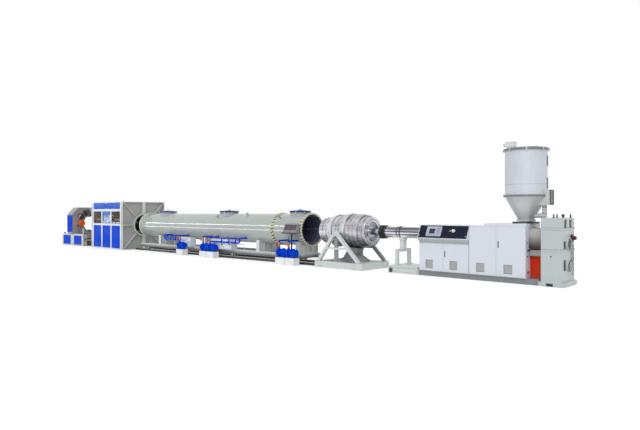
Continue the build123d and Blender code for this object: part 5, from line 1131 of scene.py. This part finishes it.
# the cover in the gap takes the thrust paint: painted shade, dark brown below and grey at the top
cover = Bench("coupling_cover", thrust_shade_paint, "gearbox_paint")
cover.crate((gap_start, cover_y, 0.985), (gap_end, cover_y + 0.004, 1.60), 0.001)
for z in (0.985, 1.588):
    cover.crate((gap_start, cover_y, z), (gap_end, cover_y + 0.05, z + 0.012), 0.002)
ledge = Bench("coupling_shelf", grey_paint, "grey_paint")
ledge.crate((gap_start, cover_y - 0.01, 0.81), (gap_end, -0.05, 0.965), 0.006)
ledge.crate((gap_start, cover_y - 0.02, 0.952), (gap_end, -0.04, 0.972), 0.003)
fix = Bench("coupling_screws", zinc)
for x, z in product((14.27, 14.60), (1.01, 1.29, 1.57)):
    cap_screw(fix, aim((x, cover_y, z), front), 0.010)
settle()

# %% [markdown]
# ## Gearbox
# The cast housing is split at two ledges and bolted there. Two bearing caps show on its end, with dark
# inspection windows beside and above them. Lifting eyes, a breather and a dipstick stand on top. A
# handwheel turns the lower shaft, and steel pipes take oil from the pump to the lower case. The windows
# could be holes; here dark plates with a bar are painted shade for their shaded insides and leave the
# casting whole.

# %% Gearbox trim
case_top, case_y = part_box("gearbox_housing")[1][2], 0.54
ledge_face, cap_face, window_y = 15.203, 15.246, 0.29
caps = ((1.165, 0.172), (0.56, 0.147))
bolts = Bench("gearbox_bolts", dark_steel)
for z, number in product((1.012, 1.611), range(7)):
    for y in (-0.546, 0.546):
        hex_bolt(bolts, aim((gearbox_start + 0.05 + 0.08 * number, y, z)), 0.017)
    hex_bolt(bolts, aim((ledge_face, -0.45 + 0.15 * number, z)), 0.017)
for z, reach in caps:
    bolt_circle(bolts, hex_bolt, aim((cap_face, 0, z), right), reach, 10, 0.022)

# dark parts; the window plates among them are painted shade for the windows' shaded insides
dark_parts_and_shade = Bench("gearbox_dark_parts_and_painted_shade", dark_paint, "dark_paint")
for y in (-0.21, 0.21):
    dark_parts_and_shade.block((15.164, y, 1.726), (0.008, 0.194, 0.224), 0.002)
    dark_parts_and_shade.block((15.175, y, 1.725), (0.022, 0.024, 0.21), 0.004)
for z, reach in caps:
    dark_parts_and_shade.stud(aim((15.218, 0, z), right), (reach - 0.02, 0.006), (0.07, 0.008), (0.062, 0.022),
                base=0, steps=32)
dark_parts_and_shade.stud(aim((14.917, -case_y, 0.83), front), (0.02, 0.01), (0.012, 0.016), steps=18)
for side in (-1, 1):
    dark_parts_and_shade.block((14.872, side * 0.487, 0.046), (0.174, 0.008, 0.08), 0.002)
    for z, height in ((1.145, 0.21), (0.59, 0.30)):
        dark_parts_and_shade.block((15.197, side * window_y, z), (0.010, 0.144, height), 0.003)
        dark_parts_and_shade.block((15.202, side * window_y, z), (0.008, 0.016, height - 0.02), 0.002)

top_parts = Bench("gearbox_eyes_and_breather", dark_steel)
for x, y in ((14.95, -0.42), (15.11, 0.48), (14.75, 0.45)):
    eye_bolt(top_parts, (x, y, case_top), 0.062)
top_parts.stud(aim((15.11, -0.15, case_top)), (0.024, 0.03), (0.04, 0.034), (0.04, 0.085), (0.03, 0.10),
               steps=20)
top_parts.tube(((0, 0, -0.01), (0, 0, 0.07), (0.04, 0, 0.10)), 0.008, 0.02, where=at((15.02, 0.12, case_top)))
ring = Bench("gearbox_handwheel", cone_steel, "stainless")
wheel(ring, aim((15.238, 0, 0.56), right), 0.115, 0.011, 5)
pipe_x, oil_line = 15.222, Bench("gearbox_oil_pipes", plain_steel)
oil_line.tube(((pipe_x, 0.27, 1.235), (pipe_x, 0.27, 0.72), (15.19, 0.27, 0.72)), 0.013, 0.03)
oil_line.tube(((pipe_x, 0.31, 1.24), (pipe_x, 0.36, 1.05), (pipe_x, 0.36, 0.30), (15.19, 0.36, 0.30)),
              0.010, 0.03)
for y, z in ((0.27, 0.72), (0.36, 0.30)):
    oil_line.stud(aim((15.194, y, z), right), (0.026, 0.012), (0.02, 0.012), (0.02, 0.03), base=0, steps=6)
settle()

# %% [markdown]
# ## Hopper
# Clips hold the lid, two narrow sight glasses show the level of the granules, and a slide gate under the
# cone shuts the feed. The blower draws air through a louvred face, and its duct is held by two clamps. What
# sits on the wall is set out by an angle about the hopper's axis, so that it faces straight outwards.

# %% Hopper trim
hopper_reach, rim_height, sight_turn, sight_half = 0.586, 3.845, 7.0, 0.07


def on_hopper(reach, turn, z):
    """A matrix that faces out from the hopper's axis. 0 degrees is to the right, 90 to the back."""
    return aim(Vector((hopper_x, 0, z)) + round_spot(reach, turn), round_spot(1.0, turn))


clips = Bench("hopper_clips_and_bolts", zinc)
for turn in around(8, 22.5):
    clip = on_hopper(0.63, turn, rim_height)
    clips.crate((-0.022, -0.05, -0.004), (0.022, 0.038, 0.008), 0.002, clip)
    clips.stud(clip @ at((0, -0.02, 0.006)), (0.012, 0.012), base=0, steps=12)
for reach, z in ((0.609, 2.55), (0.247, 1.83)):
    bolt_circle(clips, hex_bolt, aim((hopper_x, 0, z)), reach, 16, 0.018, 11.25)
sights = Bench("hopper_sight_frames", cone_steel, "stainless")
panes = Bench("hopper_sight_panes", black_plastic, "control_plastic")
for z, half in ((3.515, 0.145), (2.88, 0.15)):
    pane = on_hopper(hopper_reach - 0.010, sight_turn, z)
    panes.crate((-sight_half, -half, 0), (sight_half, half, 0.016), 0.004, pane)
    for side in (-1, 1):
        sights.block((side * (sight_half + 0.005), 0, 0.010), (0.012, 2 * half + 0.028, 0.020), 0.002, pane)
        sights.block((0, side * (half + 0.007), 0.010), (2 * sight_half, 0.014, 0.020), 0.002, pane)
seams, seam_low, seam_high = Bench("hopper_seams", plain_steel), hopper_reach - 0.003, hopper_reach + 0.004
for z in (2.84, 3.815):
    seams.lathe(aim((hopper_x, 0, z)), (seam_low, 0), (seam_high, 0.002), (seam_high, 0.010),
                (seam_low, 0.012), steps=72)

grille_x, grille_z, slat_lean = 14.758, 2.47, 35.0
grille = Bench("blower_grille", dark_paint, "dark_paint")
for row in range(11):
    grille.block((0, 0, 0), (0.024, 0.25, 0.004), 0.001,
                 at((grille_x - 0.001, 0, 2.30 + 0.034 * row)) @ spun(slat_lean, "Y"))
for side in (-1, 1):
    grille.block((grille_x, side * 0.135, grille_z), (0.018, 0.02, 0.396), 0.002)
    grille.block((grille_x, 0, grille_z + side * 0.198), (0.018, 0.29, 0.02), 0.002)

gate_z, lid_z = 1.75, 3.908
gate = Bench("hopper_slide_gate", dark_steel)
for z in (2.19, 2.02):
    gate.hoop(aim((14.556, 0, z)), 0.066, 0.006, 28, 8)
gate.crate((13.72, -0.20, gate_z - 0.006), (14.38, 0.20, gate_z + 0.006), 0.002)
gate.bail((13.73, -0.07, gate_z), (13.73, 0.07, gate_z), (-0.09, 0, 0), 0.010)
for side in (-1, 1):
    gate.crate((13.72, side * 0.215 - 0.02, 1.72), (14.33, side * 0.215 + 0.02, 1.772), 0.003)
lid_parts = Bench("hopper_lid_parts", loader_paint, "grey_paint")
lid_parts.crate((13.524, -0.307, 4.082), (13.798, -0.093, 4.108), 0.005)
lid_parts.stud(aim((13.535, -0.2, 4.025), left), (0.036, 0.07), (0.052, 0.07), (0.052, 0.085), (0.03, 0.085),
               (0.03, 0.02), base=0)
lid_parts.crate((14.10, -0.18, lid_z - 0.010), (14.44, 0.16, lid_z + 0.006), 0.004)
lid_parts.bail((14.18, -0.01, lid_z), (14.36, -0.01, lid_z), (0, 0, 0.047), 0.009)
settle()

# %% [markdown]
# ## Haul-off
# The tracks run behind glass in black gaskets. The lower panels come off for greasing: each has a grip and
# four screws. Two blue sheets on a side close the header, and welded seams run across the roof. Rows of
# bolts hold the guide rim round the inlet, and four eyes on the roof lift the whole machine. The three bays
# of both sides are alike, so one loop dresses all six.

# %% Haul-off trim
glass_y, panel_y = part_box("haul_off_glass")[1][1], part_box("haul_off_panels")[1][1]
inlet_face, roof_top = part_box("haul_off_end_plates")[1][0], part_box("haul_off_roof")[1][2]
bays, jack_y = ((-10.863, -9.889), (-9.769, -8.794), (-8.674, -7.700)), 1.15
window_z, panel_z, grip_z, gasket = (1.431, 2.111), (0.070, 1.320), (0.72, 0.90), 0.018
sheet_y, sheet_z, roof_half = (1.284, 1.294), (2.245, 2.605), 1.20
sheets = Bench("header_sheets", header_paint, "blue_paint")
seams = Bench("roof_seams", white_paint, "white_paint")
jacks, guides = Bench("jack_screws", jack_paint, "red_paint"), Bench("jack_guides", zinc)
gaskets = Bench("window_gaskets", rubber, "track_rubber")
grips = Bench("panel_grips", black_plastic, "control_plastic")
fixings = Bench("haul_off_bolts", zinc)
for side, (low_x, high_x) in product((-1, 1), bays):
    near, far = sorted((side * (glass_y - 0.004), side * (glass_y + 0.010)))
    border(gaskets, (low_x, near, window_z[0]), (high_x, far, window_z[1]), gasket, 0.003)
    for x, z in product((low_x + 0.05, high_x - 0.05), (panel_z[0] + 0.05, panel_z[1] - 0.05)):
        cap_screw(fixings, aim((x, side * panel_y, z), (0, side, 0)), 0.011)
    grip_x, grip_y = low_x + 0.12, side * (panel_y - 0.004)
    grips.bail((grip_x, grip_y, grip_z[0]), (grip_x, grip_y, grip_z[1]), (0, side * 0.044, 0), 0.009)
    for share in (0.24, 0.74):
        jacks.stud(aim((low_x + share * (high_x - low_x), side * jack_y, 1.30)), (0.05, 0.09), (0.03, 0.12),
                   (0.03, 0.70), (0.05, 0.73), (0.05, 0.90), base=0, steps=20)
    guides.block(((low_x + high_x) / 2, side * jack_y, 1.65), (high_x - low_x - 0.12, 0.06, 0.06), 0.006)
for side, (low_x, high_x) in product((-1, 1), ((-10.863, -9.305), (-9.255, -7.700))):
    near, far = sorted((side * sheet_y[0], side * sheet_y[1]))
    sheets.crate((low_x, near, sheet_z[0]), (high_x, far, sheet_z[1]), 0.004)
    screw_x = (low_x + 0.05, (low_x + high_x) / 2, high_x - 0.05)
    for x, z in product(screw_x, (sheet_z[0] + 0.04, sheet_z[1] - 0.04)):
        cap_screw(fixings, aim((x, side * sheet_y[1], z), (0, side, 0)), 0.011)
for x in (-9.829, -8.734):
    seams.block((x, 0, roof_top + 0.005), (0.09, 2 * roof_half, 0.014), 0.004)
    seams.block((x, 0, roof_top + 0.020), (0.036, 2 * roof_half - 0.04, 0.020), 0.006)
    for number, offset in product(range(9), (-0.032, 0.032)):
        hex_bolt(seams, aim((x + offset, -1.12 + 0.28 * number, roof_top + 0.012)), 0.012)
bolt_circle(fixings, hex_bolt, aim(on_line(inlet_face), right), 0.588, 24, 0.026)
for x, y in product((-10.9, -7.66), (-1.1, 1.1)):
    eye_bolt(fixings, (x, y, roof_top), 0.05)
settle()

# %% [markdown]
# ## Saw
# The saw goes round the pipe on a ring while it cuts. Bolts on the ring, the fan cowl on the motor, the
# ribs of the saw unit and the guard over it are made in place and ride on the ring. Parenting by hand could
# do that too, but a body's name keeps it true in every pose.

# %% Saw trim
ring_x, unit_x, saw_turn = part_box("saw_ring")[1][0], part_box("saw_unit")[1][0], 32.0
guard_turn, guard_half, guard_low, guard_high = 60.0, 0.12, 0.72, 1.07
rotor_bolts = Bench("saw_ring_bolts", zinc, body="saw_rotor")
for reach, size in ((0.915, 0.03), (0.60, 0.022)):
    bolt_circle(rotor_bolts, hex_bolt, aim(on_line(ring_x), right), reach, 32, size)
motor_cowl = Bench("saw_motor_cowl", orange_paint, "orange_paint", "saw_rotor")
saw_motor = aim((ring_x, -0.79, 1.383), right)
for turn in around(20):
    motor_cowl.crate((0.145, -0.005, 0.04), (0.166, 0.005, 0.26), 0.002, saw_motor @ spun(turn, "Z"))
motor_cowl.stud(saw_motor, (0.164, 0.335), (0.145, 0.352), (0.07, 0.352), (0.06, 0.345), base=0.27, steps=32)
ribs = Bench("saw_unit_ribs", plain_steel, body="saw_rotor")
for reach in (0.70, 0.80, 0.90, 0.98):
    rib = at(on_line(unit_x, reach, saw_turn)) @ spun(saw_turn, "X")
    ribs.crate((-0.01, -0.115, -0.012), (0.014, 0.115, 0.012), 0.003, rib)

hood = at(on_line(ring_x)) @ spun(guard_turn, "X")
guard = Bench("saw_guard", dark_paint, "dark_paint", "saw_rotor")
guard.crate((-0.003, -guard_half, guard_low), (0.17, guard_half, guard_high), 0.02, hood)
guard.stud(hood @ aim((0.165, 0, guard_low + 0.13), right), (0.10, 0.02), (0.08, 0.035), base=0, steps=32)
strips = Bench("saw_guard_strips", zinc, body="saw_rotor")
for reach in (guard_low + 0.27, guard_high - 0.04):
    strips.block((0.1715, 0, reach), (0.013, 2 * guard_half - 0.06, 0.028), 0.004, hood)
for offset, reach in product((-0.095, 0.095), (guard_low + 0.03, guard_high - 0.03)):
    hex_bolt(strips, hood @ aim((0.17, offset, reach), right), 0.02)
settle()

# %% [markdown]
# ## Carriage
# The carriage takes the saw along with the pipe. Its side covers are screwed on and have grips, four jaws
# inside it clamp the pipe, and rubber buffers end its rails. One jaw is placed from a matrix on the pass
# line, and turning that matrix by a quarter gives the others.

# %% Carriage trim
cover_low, cover_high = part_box("carriage_covers")
cover_y, grip_z, jaw_x, rail_y = cover_high[1], (1.28, 1.44), -14.50, 1.105
screw_x = (cover_low[0] + 0.04, (cover_low[0] + cover_high[0]) / 2, cover_high[0] - 0.04)
grips = Bench("carriage_grips", black_plastic, "control_plastic", "cutter_carriage")
studs = Bench("carriage_bolts", zinc, body="cutter_carriage")
for side in (-1, 1):
    foot_y = side * (cover_y - 0.004)
    for x in (-14.42, -14.03):
        grips.bail((x, foot_y, grip_z[0]), (x, foot_y, grip_z[1]), (0, side * 0.040, 0), 0.010)
    for x, z in product(screw_x, (cover_low[2] + 0.05, cover_high[2] - 0.05)):
        cap_screw(studs, aim((x, side * cover_y, z), (0, side, 0)), 0.013)
bolt_circle(studs, hex_bolt, aim(on_line(cover_low[0]), left), 0.70, 28, 0.03)

# the jaws take the dark brown of painted shade
jaws = Bench("pipe_clamp_jaws", cutter_shade_brown, "dark_paint", "cutter_carriage")
rods = Bench("pipe_clamp_rods", zinc, body="cutter_carriage")
for turn in around(4):
    jaw = at(on_line(jaw_x)) @ spun(turn, "X")
    jaws.crate((0, -0.14, 0.415), (0.20, 0.14, 0.47), 0.01, jaw)
    jaws.crate((-0.04, -0.285, 0.475), (0.26, 0.285, 0.553), 0.01, jaw)
    for offset in (-0.09, 0.09):
        rods.tube(((0.10, offset, 0.46), (0.10, offset, 0.648)), 0.022, where=jaw)

buffers = Bench("rail_buffers", rubber, "track_rubber")
for (x, towards), y in product(((-15.30, right), (-12.47, left)), (-rail_y, rail_y)):
    buffers.crate((x - 0.02, y - 0.05, 0.733), (x + 0.02, y + 0.05, 0.80), 0.004)
    buffers.stud(aim((x, y, 0.775), towards), (0.018, 0.034), (0.012, 0.04), base=0, steps=16)
settle()
